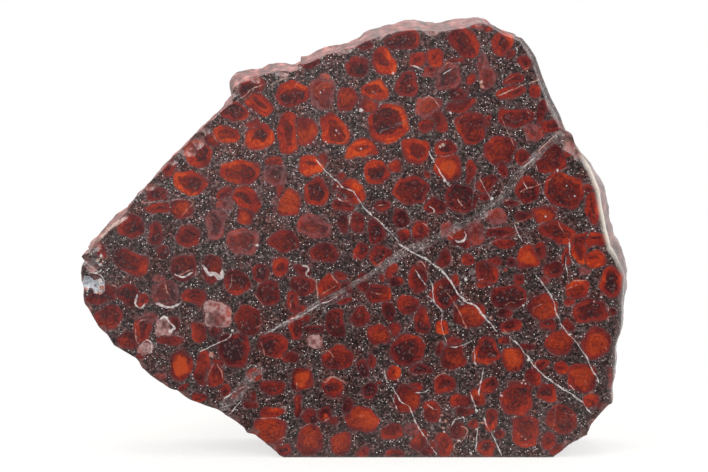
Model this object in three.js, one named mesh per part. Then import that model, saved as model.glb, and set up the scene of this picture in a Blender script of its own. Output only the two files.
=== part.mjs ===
// A cut and polished slab of columnar stromatolite: red jasper columns in a dark, iron-rich cherty matrix.
// It is one piece of stone that stands on a sawn base. Millimetres, +Z up, +X to the right across the
// polished face, which looks towards -Y. The origin is the middle of the slab's box, on the surface that it
// stands on.

import * as THREE from 'three';
import { ImprovedNoise } from 'three/addons/math/ImprovedNoise.js';
import { mergeVertices } from 'three/addons/utils/BufferGeometryUtils.js';

// Driving dimensions.
const THICKNESS = 25;
const STATION_STEP = 2;        // longest straight step along the edge of the polished face
const BLEND_LENGTH = 5;        // over which one stretch of the edge turns into the next
const RIDGE_SIZE = 7;          // width of the hollows and ridges of the broken rim
const RIDGE_HEIGHT = 2;        // how far the highest ridges stand out where the rim's roughness is 1
const RIDGE_STRETCH = 0.6;     // the ridges run a little longer through the slab than along its edge
const MIDDLE_X = 0.6;          // middle of the slab's box, in the X that the edge is drawn in
const KEY_DECIMALS = 3;        // places on the edge are told apart to this many decimals of a millimetre

// The edge of the polished face, clockwise from the left end of the base, in stretches that broke or were
// worked in one way. Each point is [x, z].
//   inset   how far inside the edge the flat face starts to round over
//   drop    how deep the rounding reaches
//   flare   how far the rim stands outside the edge, deeper in the slab
//   rough   how rough the rim is, as a share of the ridges' height
const EDGE = [
  {
    name: 'lower left break',
    inset: 0.6, drop: 0.6, flare: 0.1, rough: 0.9,
    points: [
      [-19.6, 0], [-22.4, 2.1], [-25.1, 4.3], [-27.5, 6.5], [-30, 7.2], [-32.4, 9.9], [-36.1, 12.2],
      [-39.1, 14.2], [-44.6, 16.1], [-49.5, 19.2], [-54.3, 21.7], [-59.2, 25.7], [-61, 28.5],
      [-65.3, 31.2], [-68, 33.7], [-71.3, 37.7], [-73.4, 41.7],
    ],
  },
  {
    name: 'pitted corner',
    inset: 0.9, drop: 0.8, flare: -0.4, rough: 1,
    points: [[-75.1, 45], [-75.2, 48.2], [-75.8, 52.6], [-74.7, 55.9], [-75.6, 57.1]],
  },
  {
    name: 'pale lower bevel',
    inset: 1.7, drop: 1.3, flare: -1.2, rough: 0.4,
    points: [[-74.6, 58.2], [-71.7, 61.6], [-68.4, 65.5], [-63.8, 68.9]],
  },
  {
    name: 'upper left break',
    inset: 0.5, drop: 0.6, flare: -1.9, rough: 0.7,
    points: [
      [-62.4, 71.6], [-59.1, 75.2], [-55.2, 79.5], [-50.8, 84.2], [-47.6, 87.4], [-44.8, 90.4],
      [-41.6, 93.1], [-37, 97.7], [-35.3, 99.2],
    ],
  },
  {
    name: 'step',
    inset: 0.5, drop: 0.7, flare: 2, rough: 0.6,
    points: [[-33.4, 100.2], [-33.2, 104], [-32.7, 105.3]],
  },
  {
    name: 'stepped shoulder',
    inset: 0.5, drop: 0.7, flare: -0.9, rough: 0.9,
    points: [
      [-30.4, 106.2], [-27.4, 107.2], [-21.7, 108.8], [-15.2, 109.4], [-12.7, 111.3], [-7.2, 113.8],
      [-1.7, 115.1],
    ],
  },
  {
    name: 'top break',
    inset: 0.5, drop: 0.6, flare: 0.3, rough: 0.9,
    points: [[2.9, 117.3], [7.4, 118.5], [12.4, 119.9], [17.4, 120.4], [22.9, 119.8], [29.9, 120.8]],
  },
  {
    name: 'worn top corner',
    inset: 1.2, drop: 1, flare: -2.4, rough: 0.5,
    points: [[34.8, 122.2], [37.5, 121.8], [41.7, 119.3], [46, 117.9]],
  },
  {
    name: 'polished shoulder',
    inset: 3, drop: 2.4, flare: -1.5, rough: 0.35,
    points: [[48.1, 115.5], [50, 112.6], [52, 106.8], [54.3, 101.3], [58, 93.4]],
  },
  {
    name: 'notch at the healed crack',
    inset: 0.9, drop: 1.2, flare: -2, rough: 0.7,
    points: [[58.4, 92.3], [60.1, 91.2], [60.9, 89.1]],
  },
  {
    name: 'ground shoulder',
    inset: 2.2, drop: 2, flare: -0.5, rough: 0.6,
    points: [[63.2, 85.3], [65.3, 82]],
  },
  {
    name: 'polished right edge',
    inset: 2.4, drop: 2.2, flare: 2.2, rough: 0.8,
    points: [[67.8, 76], [68.8, 70.5], [69.9, 65], [71.2, 60]],
  },
  {
    name: 'right tip',
    inset: 1.8, drop: 2, flare: 1.7, rough: 0.6,
    points: [[73, 57], [74.3, 54], [75.2, 51.5]],
  },
  {
    name: 'softly ground right edge',
    inset: 3.2, drop: 2, flare: 1.2, rough: 0.7,
    points: [[74.7, 44.5], [74.3, 35.1], [73, 31.3], [73, 26.9], [72.8, 22.3], [72.2, 15.4]],
  },
  {
    name: 'chipped lower right corner',
    inset: 0.6, drop: 0.5, flare: 0.2, rough: 0.9,
    points: [[70, 13.6], [67.3, 10.7], [65.4, 7.4], [62.6, 4.8], [59.3, 3]],
  },
  {
    name: 'sawn base',
    inset: 1.6, drop: 0.6, flare: 0, rough: 0,
    points: [[55.9, 0]],
  },
];

// The rim from the polished face to the sawn back. A rounding row gives its share of the inset that is left
// and of the drop that is reached. A deeper row gives its share of the way from the rounding to the back, of
// the flare and of the roughness.
const HALFWAY_ROUND = 1 - Math.SQRT1_2;
const ROUNDING_ROWS = [
  { insetShare: 1, dropShare: 0 },
  { insetShare: HALFWAY_ROUND, dropShare: HALFWAY_ROUND },
  { insetShare: 0, dropShare: 1 },
];
const RIM_ROWS = [
  { depthShare: 0.18, flareShare: 0.5, roughShare: 0.6 },
  { depthShare: 0.36, flareShare: 0.9, roughShare: 1 },
  { depthShare: 0.54, flareShare: 1, roughShare: 1 },
  { depthShare: 0.72, flareShare: 1, roughShare: 1 },
  { depthShare: 0.88, flareShare: 0.8, roughShare: 0.8 },
  { depthShare: 1, flareShare: 0.5, roughShare: 0.5 },
];

const stone = new THREE.MeshStandardMaterial({ color: 0x5a2420, roughness: 0.3, metalness: 0 });
const noise = new ImprovedNoise();

// Splits the edge into short steps. Each station keeps the numbers of the stretch that it lies on.
function edgeStations() {
  const corners = EDGE.flatMap((stretch) => stretch.points.map(([x, z]) => ({ x, z, stretch })));
  const stations = [];
  corners.forEach((corner, i) => {
    const next = corners[(i + 1) % corners.length];
    const length = Math.hypot(next.x - corner.x, next.z - corner.z);
    const steps = Math.ceil(length / STATION_STEP);
    for (let k = 0; k < steps; k++) {
      const t = k / steps;
      stations.push({
        x: THREE.MathUtils.lerp(corner.x, next.x, t),
        z: THREE.MathUtils.lerp(corner.z, next.z, t),
        stretch: corner.stretch,
      });
    }
  });
  return stations;
}

// The station that lies a number of places along the closed edge.
function along(stations, i, places) {
  return stations[(i + places + stations.length) % stations.length];
}

// Direction out of the stone at a station, square to the chord between its neighbours.
function outwardNormal(stations, i) {
  const before = along(stations, i, -1);
  const after = along(stations, i, 1);
  return new THREE.Vector2(before.z - after.z, after.x - before.x).normalize();
}

// One of a stretch's numbers at a station, averaged over the blend length on both sides, so that the edge
// changes gradually.
function blended(stations, i, key) {
  const reach = Math.round(BLEND_LENGTH / STATION_STEP);
  let total = 0;
  for (let places = -reach; places <= reach; places++) {
    total += along(stations, i, places).stretch[key];
  }
  return total / (2 * reach + 1);
}

// Where the rim passes at one row: its distance outside the edge, and its depth behind the polished face.
function rimPoint(station, row) {
  const rounding = ROUNDING_ROWS[row];
  if (rounding) {
    return { out: -station.inset * rounding.insetShare, depth: station.drop * rounding.dropShare };
  }
  const rim = RIM_ROWS[row - ROUNDING_ROWS.length];
  const depth = THREE.MathUtils.lerp(station.drop, THICKNESS, rim.depthShare);
  const ridge = RIDGE_HEIGHT * noise.noise(
    station.x / RIDGE_SIZE,
    station.z / RIDGE_SIZE,
    (depth * RIDGE_STRETCH) / RIDGE_SIZE,
  );
  return { out: station.flare * rim.flareShare + station.rough * rim.roughShare * ridge, depth };
}

// Moves the straight-sided blank's vertices to the rim. The base stays flat at z = 0.
function shapeRim(blank, stations, rowCount) {
  const stationAt = new Map(stations.map((station) => [vertexKey(station.x, station.z), station]));
  const position = blank.getAttribute('position');
  for (let i = 0; i < position.count; i++) {
    const station = stationAt.get(vertexKey(position.getX(i), position.getY(i)));
    const row = rowCount - Math.round((position.getZ(i) / THICKNESS) * rowCount);
    const { out, depth } = rimPoint(station, row);
    const x = station.x + station.normal.x * out;
    const z = station.z + station.normal.y * out;
    position.setXYZ(i, x, Math.max(z, 0), THICKNESS - depth);
  }
}

// Name of a place on the edge, for looking up the station there.
function vertexKey(x, z) {
  return `${x.toFixed(KEY_DECIMALS)} ${z.toFixed(KEY_DECIMALS)}`;
}

// The slab: an extruded blank with the edge's outline, whose wall is then shaped row by row.
function slabGeometry() {
  const stations = edgeStations();
  stations.forEach((station, i) => {
    station.normal = outwardNormal(stations, i);
    for (const key of ['inset', 'drop', 'flare', 'rough']) {
      station[key] = blended(stations, i, key);
    }
  });
  const outline = new THREE.Shape(stations.map((station) => new THREE.Vector2(station.x, station.z)));
  const rowCount = ROUNDING_ROWS.length + RIM_ROWS.length - 1;
  const extruded = new THREE.ExtrudeGeometry(outline, {
    depth: THICKNESS,
    steps: rowCount,
    bevelEnabled: false,
  });
  extruded.deleteAttribute('normal');
  extruded.deleteAttribute('uv');
  const slab = mergeVertices(extruded);
  shapeRim(slab, stations, rowCount);
  slab.rotateX(Math.PI / 2);
  slab.translate(-MIDDLE_X, THICKNESS / 2, 0);
  slab.computeVertexNormals();
  return slab;
}

const slab = new THREE.Mesh(slabGeometry(), stone);
slab.name = 'stromatolite_slab';

const stromatolite = new THREE.Group();
stromatolite.add(slab);

export default stromatolite;
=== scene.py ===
"""Looks of a cut and polished slab of columnar stromatolite.

Red jasper columns, cut across, stand close together in a dark, iron-rich chert full of pale quartz grains.
Healed cracks of white quartz and one grey fibrous band cross the face. The face is polished, the rim is
broken stone with a few ground places, and the back is sawn. Lengths in the lists are millimetres, written
as X across the face and Z up.
"""
import logging
import math
from dataclasses import dataclass
from enum import Enum
from functools import partial

import bpy
import numpy as np
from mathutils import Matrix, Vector
from mathutils.geometry import delaunay_2d_cdt


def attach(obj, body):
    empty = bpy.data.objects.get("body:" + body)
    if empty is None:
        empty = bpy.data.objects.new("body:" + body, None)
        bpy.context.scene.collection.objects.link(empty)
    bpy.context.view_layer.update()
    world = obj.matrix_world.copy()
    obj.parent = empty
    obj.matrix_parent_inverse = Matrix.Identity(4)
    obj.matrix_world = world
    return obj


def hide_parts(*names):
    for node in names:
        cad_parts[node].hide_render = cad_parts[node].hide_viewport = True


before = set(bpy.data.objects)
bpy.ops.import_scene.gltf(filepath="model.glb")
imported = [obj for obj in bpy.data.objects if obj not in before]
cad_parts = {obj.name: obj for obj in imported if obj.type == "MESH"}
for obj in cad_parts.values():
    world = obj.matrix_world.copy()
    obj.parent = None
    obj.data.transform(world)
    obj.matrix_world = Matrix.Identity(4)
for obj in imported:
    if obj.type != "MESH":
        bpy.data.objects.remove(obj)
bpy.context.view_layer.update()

log = logging.getLogger("stromatolite")

Point = tuple[float, float]
Array = np.ndarray

MM = 0.001                 # metres in a millimetre
MIDDLE_X = 0.6             # X of the drawn outline's middle


def linear(code: str) -> tuple[float, float, float, float]:
    """Turns an sRGB colour into the linear colour that a shader takes.

    Args:
        code: The colour as six hexadecimal digits.

    Returns:
        Red, green, blue and an alpha of 1, linear.
    """
    channels = [int(code[i:i + 2], 16) / 255 for i in (0, 2, 4)]
    knee, slope, scale, power = 0.04045, 12.92, 1.055, 2.4
    values = [c / slope if c <= knee else ((c + scale - 1) / scale) ** power for c in channels]
    return values[0], values[1], values[2], 1.0


def ease_step(low: float, high: float, value: Array) -> Array:
    """Rises smoothly from 0 at low to 1 at high, and falls where high is less than low."""
    t = np.clip((value - low) / (high - low), 0, 1)
    return t * t * (3 - 2 * t)


class StoneNoise:
    """Smooth random variation through space, for whole arrays of points at once.

    Where a number is added to the points, they read another place of the noise, unrelated to the first.
    """

    LATTICE = 64           # gradients along each side, before the noise repeats
    GAIN = 1.6             # brings the noise to about -1 to 1
    SHIFT = 7.3            # mm between the places where two octaves are read

    def __init__(self, seed: int) -> None:
        """Draws the random gradients, which are unrelated for another seed."""
        gradients = np.random.default_rng(seed).normal(size=(self.LATTICE ** 3, 3))
        self.gradients = gradients / np.linalg.norm(gradients, axis=1, keepdims=True)

    def at(self, points: Array, size: float) -> Array:
        """Reads the noise.

        Args:
            points: Points in mm, one row of three each.
            size: Width of one lump in mm.

        Returns:
            One value for each point, about -1 to 1.
        """
        scaled = points / size
        cell = np.floor(scaled).astype(int)
        inside = scaled - cell
        ease = inside ** 3 * (inside * (inside * 6 - 15) + 10)
        total = np.zeros(len(points))
        for corner in np.ndindex(2, 2, 2):
            offset = np.array(corner)
            index = (cell + offset) % self.LATTICE
            flat = (index[:, 0] * self.LATTICE + index[:, 1]) * self.LATTICE + index[:, 2]
            pull = np.einsum("ij,ij->i", self.gradients[flat], inside - offset)
            total += np.prod(np.where(offset == 1, ease, 1 - ease), axis=1) * pull
        return total * self.GAIN

    def rough(self, points: Array, size: float, octaves: int) -> Array:
        """Adds noises that are each half as wide and half as strong as the last, from a width in mm."""
        layers = [self.at(points + self.SHIFT * k, size / 2 ** k) / 2 ** k for k in range(octaves)]
        return np.sum(layers, axis=0)


@dataclass(frozen=True)
class Stretch:
    """A length of the edge that broke or was worked in one way. Sizes in mm.

    Attributes:
        name: What this length is.
        inset: How far inside the edge the flat face starts to round over.
        drop: How deep the rounding reaches.
        flare: How far the rim stands outside the edge, deeper in the slab.
        rough: Height of the hollows and ridges of the rim.
        jag: Height of the small nicks along the edge.
        frost: How white the crushed surface is, 0 where it is polished.
        points: The edge, clockwise, as X and Z.
        ground: How dull the rounding is ground, and how much pale haze, partly painted sheen, covers it; 0
            where it is polished.
    """

    name: str
    inset: float
    drop: float
    flare: float
    rough: float
    jag: float
    frost: float
    points: tuple[Point, ...]
    ground: float = 0.0


STRETCHES: tuple[Stretch, ...] = (
    Stretch("lower left break", 0.6, 0.6, 0.1, 0.9, 0.22, 0.45, (
        (-19.6, 0), (-21.1, 0.7), (-22.4, 2.1), (-23.6, 3.3), (-25.1, 4.3), (-27.5, 6.5), (-30, 7.2),
        (-30.9, 8.4), (-32.4, 9.9), (-34.3, 11.2), (-36.1, 12.2), (-37.6, 13.3), (-39.1, 14.2),
        (-41.5, 14.9), (-44.6, 16.1), (-47, 17.3), (-49.5, 19.2), (-51.6, 19.8), (-54.3, 21.7),
        (-56.8, 23.5), (-59.2, 25.7), (-60, 27.2), (-61, 28.5), (-62.8, 29.7), (-65.3, 31.2),
        (-66.8, 32.1), (-68, 33.7), (-69, 35.2), (-69.8, 35.9), (-71.3, 37.7), (-72.5, 39.9),
        (-73.4, 41.7), (-74.6, 43.5),
    )),
    Stretch("pitted corner", 0.9, 0.8, -0.4, 1, 0.25, 0.35, (
        (-75.1, 45), (-75.2, 48.2), (-75.6, 50.2), (-75.8, 52.6), (-75.5, 54.5), (-74.7, 55.9),
        (-75.6, 57.1),
    )),
    Stretch("pale lower bevel", 1.7, 1.3, -1.2, 0.4, 0.12, 0.9, (
        (-74.6, 58.2), (-73.1, 59.8), (-71.7, 61.6), (-70.3, 63.3), (-68.4, 65.5), (-65.9, 67.3),
        (-63.8, 68.9),
    )),
    Stretch("upper left break", 0.5, 0.6, -1.9, 0.7, 0.2, 0.7, (
        (-62.9, 69.8), (-62.4, 71.6), (-60.9, 73.3), (-59.1, 75.2), (-57.2, 77.2), (-55.2, 79.5),
        (-52.8, 81.9), (-50.8, 84.2), (-49, 86), (-47.6, 87.4), (-46, 88.9), (-44.8, 90.4), (-43.4, 91.9),
        (-41.6, 93.1), (-39.5, 95.2), (-37, 97.7), (-35.3, 99.2),
    )),
    Stretch("step", 0.5, 0.7, 2.0, 0.6, 0.2, 0.85, (
        (-33.4, 100.2), (-33.3, 102), (-33.2, 104), (-32.7, 105.3),
    )),
    Stretch("stepped shoulder", 0.5, 0.7, -0.9, 0.9, 0.2, 0.85, (
        (-30.4, 106.2), (-27.4, 107.2), (-24.2, 108.3), (-21.7, 108.8), (-18.2, 108.8), (-15.2, 109.4),
        (-15.2, 110.8), (-12.7, 111.3), (-10.2, 112.5), (-7.2, 113.8), (-4.2, 114.4), (-1.7, 115.1),
        (0.4, 115.8),
    )),
    Stretch("top break", 0.5, 0.6, 0.3, 0.9, 0.2, 0.45, (
        (2.9, 117.3), (4.8, 117.8), (7.4, 118.5), (9.9, 119.4), (12.4, 119.9), (14.9, 120.3),
        (17.4, 120.4), (19.9, 120), (22.9, 119.8), (25.9, 120.3), (29.9, 120.8), (32.6, 121.8),
    )),
    Stretch("worn top corner", 1.2, 1.0, -2.4, 0.5, 0.12, 0.08, (
        (34.8, 122.2), (37.5, 121.8), (39.4, 120.7), (41.7, 119.3), (46, 117.9),
    ), 0.1),
    Stretch("polished shoulder", 3.0, 2.4, -1.5, 0.35, 0.05, 0, (
        (48.1, 115.5), (50, 112.6), (52, 106.8), (54.3, 101.3), (56.7, 96.7), (58, 93.4),
    ), 0.05),
    Stretch("notch at the healed crack", 0.9, 1.2, -2.0, 0.7, 0.25, 0.2, (
        (58.4, 92.3), (59.2, 92), (60.1, 91.2), (60.9, 89.1),
    )),
    # Where ground is large, the rounding is mixed towards pale cream: partly ground haze, partly a painted
    # sheen in place of the light it reflects.
    Stretch("ground shoulder", 2.2, 2, -0.5, 0.6, 0.1, 0, (
        (62.2, 86.9), (63.2, 85.3), (65.3, 82),
    ), 0.8),
    Stretch("polished right edge", 2.4, 2.2, 2.2, 0.8, 0.1, 0, (
        (66.7, 78.8), (67.8, 76), (68.8, 70.5), (69.9, 65), (71.2, 60),
    ), 0.86),
    Stretch("right tip", 1.8, 2, 1.7, 0.6, 0.1, 0, (
        (73, 57), (74.3, 54), (75.2, 51.5), (75.1, 47.1),
    ), 0.4),
    Stretch("softly ground right edge", 3.2, 2, 1.2, 0.7, 0.1, 0.1, (
        (74.7, 44.5), (74.7, 38.3), (74.3, 35.1), (73.6, 33.5), (73, 31.3), (73, 26.9), (72.7, 23.8),
        (72.8, 22.3), (72.2, 19.9), (72.2, 15.4),
    ), 0.1),
    Stretch("chipped lower right corner", 0.6, 0.5, 0.2, 0.9, 0.3, 0.4, (
        (71.3, 15), (70, 13.6), (68.8, 12.4), (67.3, 10.7), (66.2, 8.9), (65.4, 7.4), (65.3, 6.3),
        (64.4, 5.9), (62.6, 4.8), (60.2, 3.8), (59.3, 3), (57.6, 1.5),
    )),
    Stretch("sawn base", 1.6, 0.6, 0, 0, 0, 0.1, (
        (55.9, 0),
    ), 0.2),
)


@dataclass(frozen=True)
class Chip:
    """A shell-shaped chip out of the edge: its middle, its radius and its depth behind the face, in mm."""

    x: float
    z: float
    radius: float
    depth: float


CHIPS: tuple[Chip, ...] = tuple(Chip(*row) for row in (
    (64.6, 5.8, 2.4, 1.0), (66.9, 9.6, 2.0, 0.9), (70.6, 14.2, 1.8, 0.8), (60, 3, 2, 0.8),
    (60, 89.4, 3.2, 1.3), (62.6, 86, 2.2, 1.0), (58.4, 91.8, 1.6, 0.9), (-46.2, 87.6, 2.8, 1.2),
    (-43.2, 89.8, 2.4, 1.1), (-40.6, 93.2, 1.7, 0.9), (-64.4, 68.4, 2.1, 1.0), (-71.6, 60.2, 1.8, 0.8),
    (-56.4, 77, 1.6, 0.7), (-50, 84.4, 1.7, 0.8), (-33.6, 103, 1.6, 1.0), (-27.4, 107.9, 2.4, 1.1),
    (-20.2, 109.4, 2.6, 1.1), (-15.4, 110.4, 1.4, 0.9), (-2, 115.7, 2.2, 1.0), (7, 118.8, 1.5, 0.7),
    (21.6, 120.2, 2, 0.8), (34, 122.4, 1.6, 0.7), (-23.3, 2.6, 1.7, 0.8), (-28.4, 6.8, 1.8, 0.8),
    (-33.4, 10.5, 1.6, 0.7), (-39.6, 14.2, 1.7, 0.7), (-47.2, 17.4, 1.8, 0.8), (-53.4, 20.7, 1.5, 0.6),
    (-60, 26.6, 1.9, 0.9), (-66.4, 31.6, 1.6, 0.7), (-70.2, 36.3, 1.7, 0.8), (-74.2, 43, 1.6, 0.8),
    (-75, 56.4, 1.5, 0.9), (-73.4, 50, 2.6, 0.8), (-72.6, 54.4, 2.2, 0.7),
))


class Edge:
    """The edge of the polished face as a closed ring of stations a short step apart.

    Each station has its place, the way out of the stone there, and the numbers of its stretch, each kept as
    an array with one row for each station.
    """

    STEP = 0.7             # mm between stations
    BLEND = 5.0            # mm over which one stretch turns into the next
    NICK = 1.6             # mm, width of the small nicks
    STEEP = 5              # stations on each side that the way out is averaged over
    NUMBERS = ("inset", "drop", "flare", "rough", "frost", "ground", "jag")

    def __init__(self, stretches: tuple[Stretch, ...], noise: StoneNoise) -> None:
        """Places the stations.

        Args:
            stretches: The edge, clockwise, starting at the left end of the base.
            noise: Shapes the small nicks.
        """
        places, numbers = self._walk(stretches)
        numbers = self._averaged(numbers, round(self.BLEND / self.STEP))
        self.inset, self.drop, self.flare, self.rough, self.frost, self.ground, jag = numbers.T
        points = np.column_stack((places[:, 0], np.zeros(len(places)), places[:, 1]))
        nicks = jag * noise.rough(points, self.NICK * 2, 3)
        places += self._outward(places) * nicks[:, None]
        places[:, 1] = np.maximum(places[:, 1], 0)
        outward = self._averaged(self._outward(places), self.STEEP)
        self.places = places
        self.outward = outward / np.linalg.norm(outward, axis=1, keepdims=True)

    def _walk(self, stretches: tuple[Stretch, ...]) -> tuple[Array, Array]:
        """Steps along the drawn edge.

        Args:
            stretches: The edge's stretches.

        Returns:
            The places, and for each the numbers of the stretch that it lies on.
        """
        corners = [(point, stretch) for stretch in stretches for point in stretch.points]
        places: list[Point] = []
        numbers: list[list[float]] = []
        for i, (start, stretch) in enumerate(corners):
            end = corners[(i + 1) % len(corners)][0]
            steps = max(1, round(math.dist(start, end) / self.STEP))
            for t in np.arange(steps) / steps:
                places.append((start[0] + (end[0] - start[0]) * t, start[1] + (end[1] - start[1]) * t))
                numbers.append([getattr(stretch, name) for name in self.NUMBERS])
        return np.array(places), np.array(numbers)

    @staticmethod
    def _averaged(values: Array, reach: int) -> Array:
        """Averages each row with as many rows on both sides as it reaches, round the ring."""
        return np.mean([np.roll(values, k, axis=0) for k in range(-reach, reach + 1)], axis=0)

    @staticmethod
    def _outward(places: Array) -> Array:
        """Finds the way out of the stone, square to the chord between a place's neighbours.

        Args:
            places: The stations' places, clockwise.

        Returns:
            One unit direction for each station.
        """
        chord = np.roll(places, -1, axis=0) - np.roll(places, 1, axis=0)
        square = np.column_stack((-chord[:, 1], chord[:, 0]))
        return square / np.linalg.norm(square, axis=1, keepdims=True)


@dataclass(frozen=True)
class Look:
    """How a kind of column is coloured in cross-section.

    Attributes:
        ring: Tone of the ring, from 0 for dark wine to 1 for vivid orange-red.
        core: Tone of the core, from 0 for dark with quartz grains to 1 for bright orange.
        width: Width of the ring in mm.
        laminae: Strength of the fine growth laminations, 0 to 1.
        dust: Strength of the pink dust over it, 0 to 1. Thick dust is paler.
    """

    ring: float
    core: float
    width: float
    laminae: float
    dust: float


class Style(Enum):
    """The kinds of column."""

    VIVID = Look(0.79, 0.27, 1.75, 0.4, 0.0)
    RED = Look(0.53, 0.22, 1.25, 0.6, 0.03)
    WINE = Look(0.28, 0.16, 1.1, 0.6, 0.06)
    EMBER = Look(0.48, 0.6, 0.9, 0.7, 0.08)
    DUSTY = Look(0.42, 0.26, 1.3, 0.2, 0.5)
    PALE = Look(0.45, 0.3, 2.1, 0.1, 0.9)
    MAROON = Look(0.36, 0.92, 1.5, 0.5, 0.02)


@dataclass(frozen=True)
class Column:
    """One column cut across.

    Attributes:
        x: Middle, across the face, in mm.
        z: Middle, up the face, in mm.
        a: Half of its length along the tilted axis, in mm.
        b: Half of its width across that axis, in mm.
        tilt: Direction of the tilted axis, in degrees up from the X axis.
        style: The kind of column.
        tone: How much brighter it is than its kind.
        bend: How far its ends curve over to one side, as a share of its length.
        taper: How much narrower the far end is than the middle, as a share.
        core: Shift of the core in X and Z, in mm.
    """

    x: float
    z: float
    a: float
    b: float
    tilt: float
    style: Style
    tone: float = 0.0
    bend: float = 0.0
    taper: float = 0.0
    core: Point = (0.0, 0.0)


V, R, W, E = Style.VIVID, Style.RED, Style.WINE, Style.EMBER
D, P, M = Style.DUSTY, Style.PALE, Style.MAROON

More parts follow.
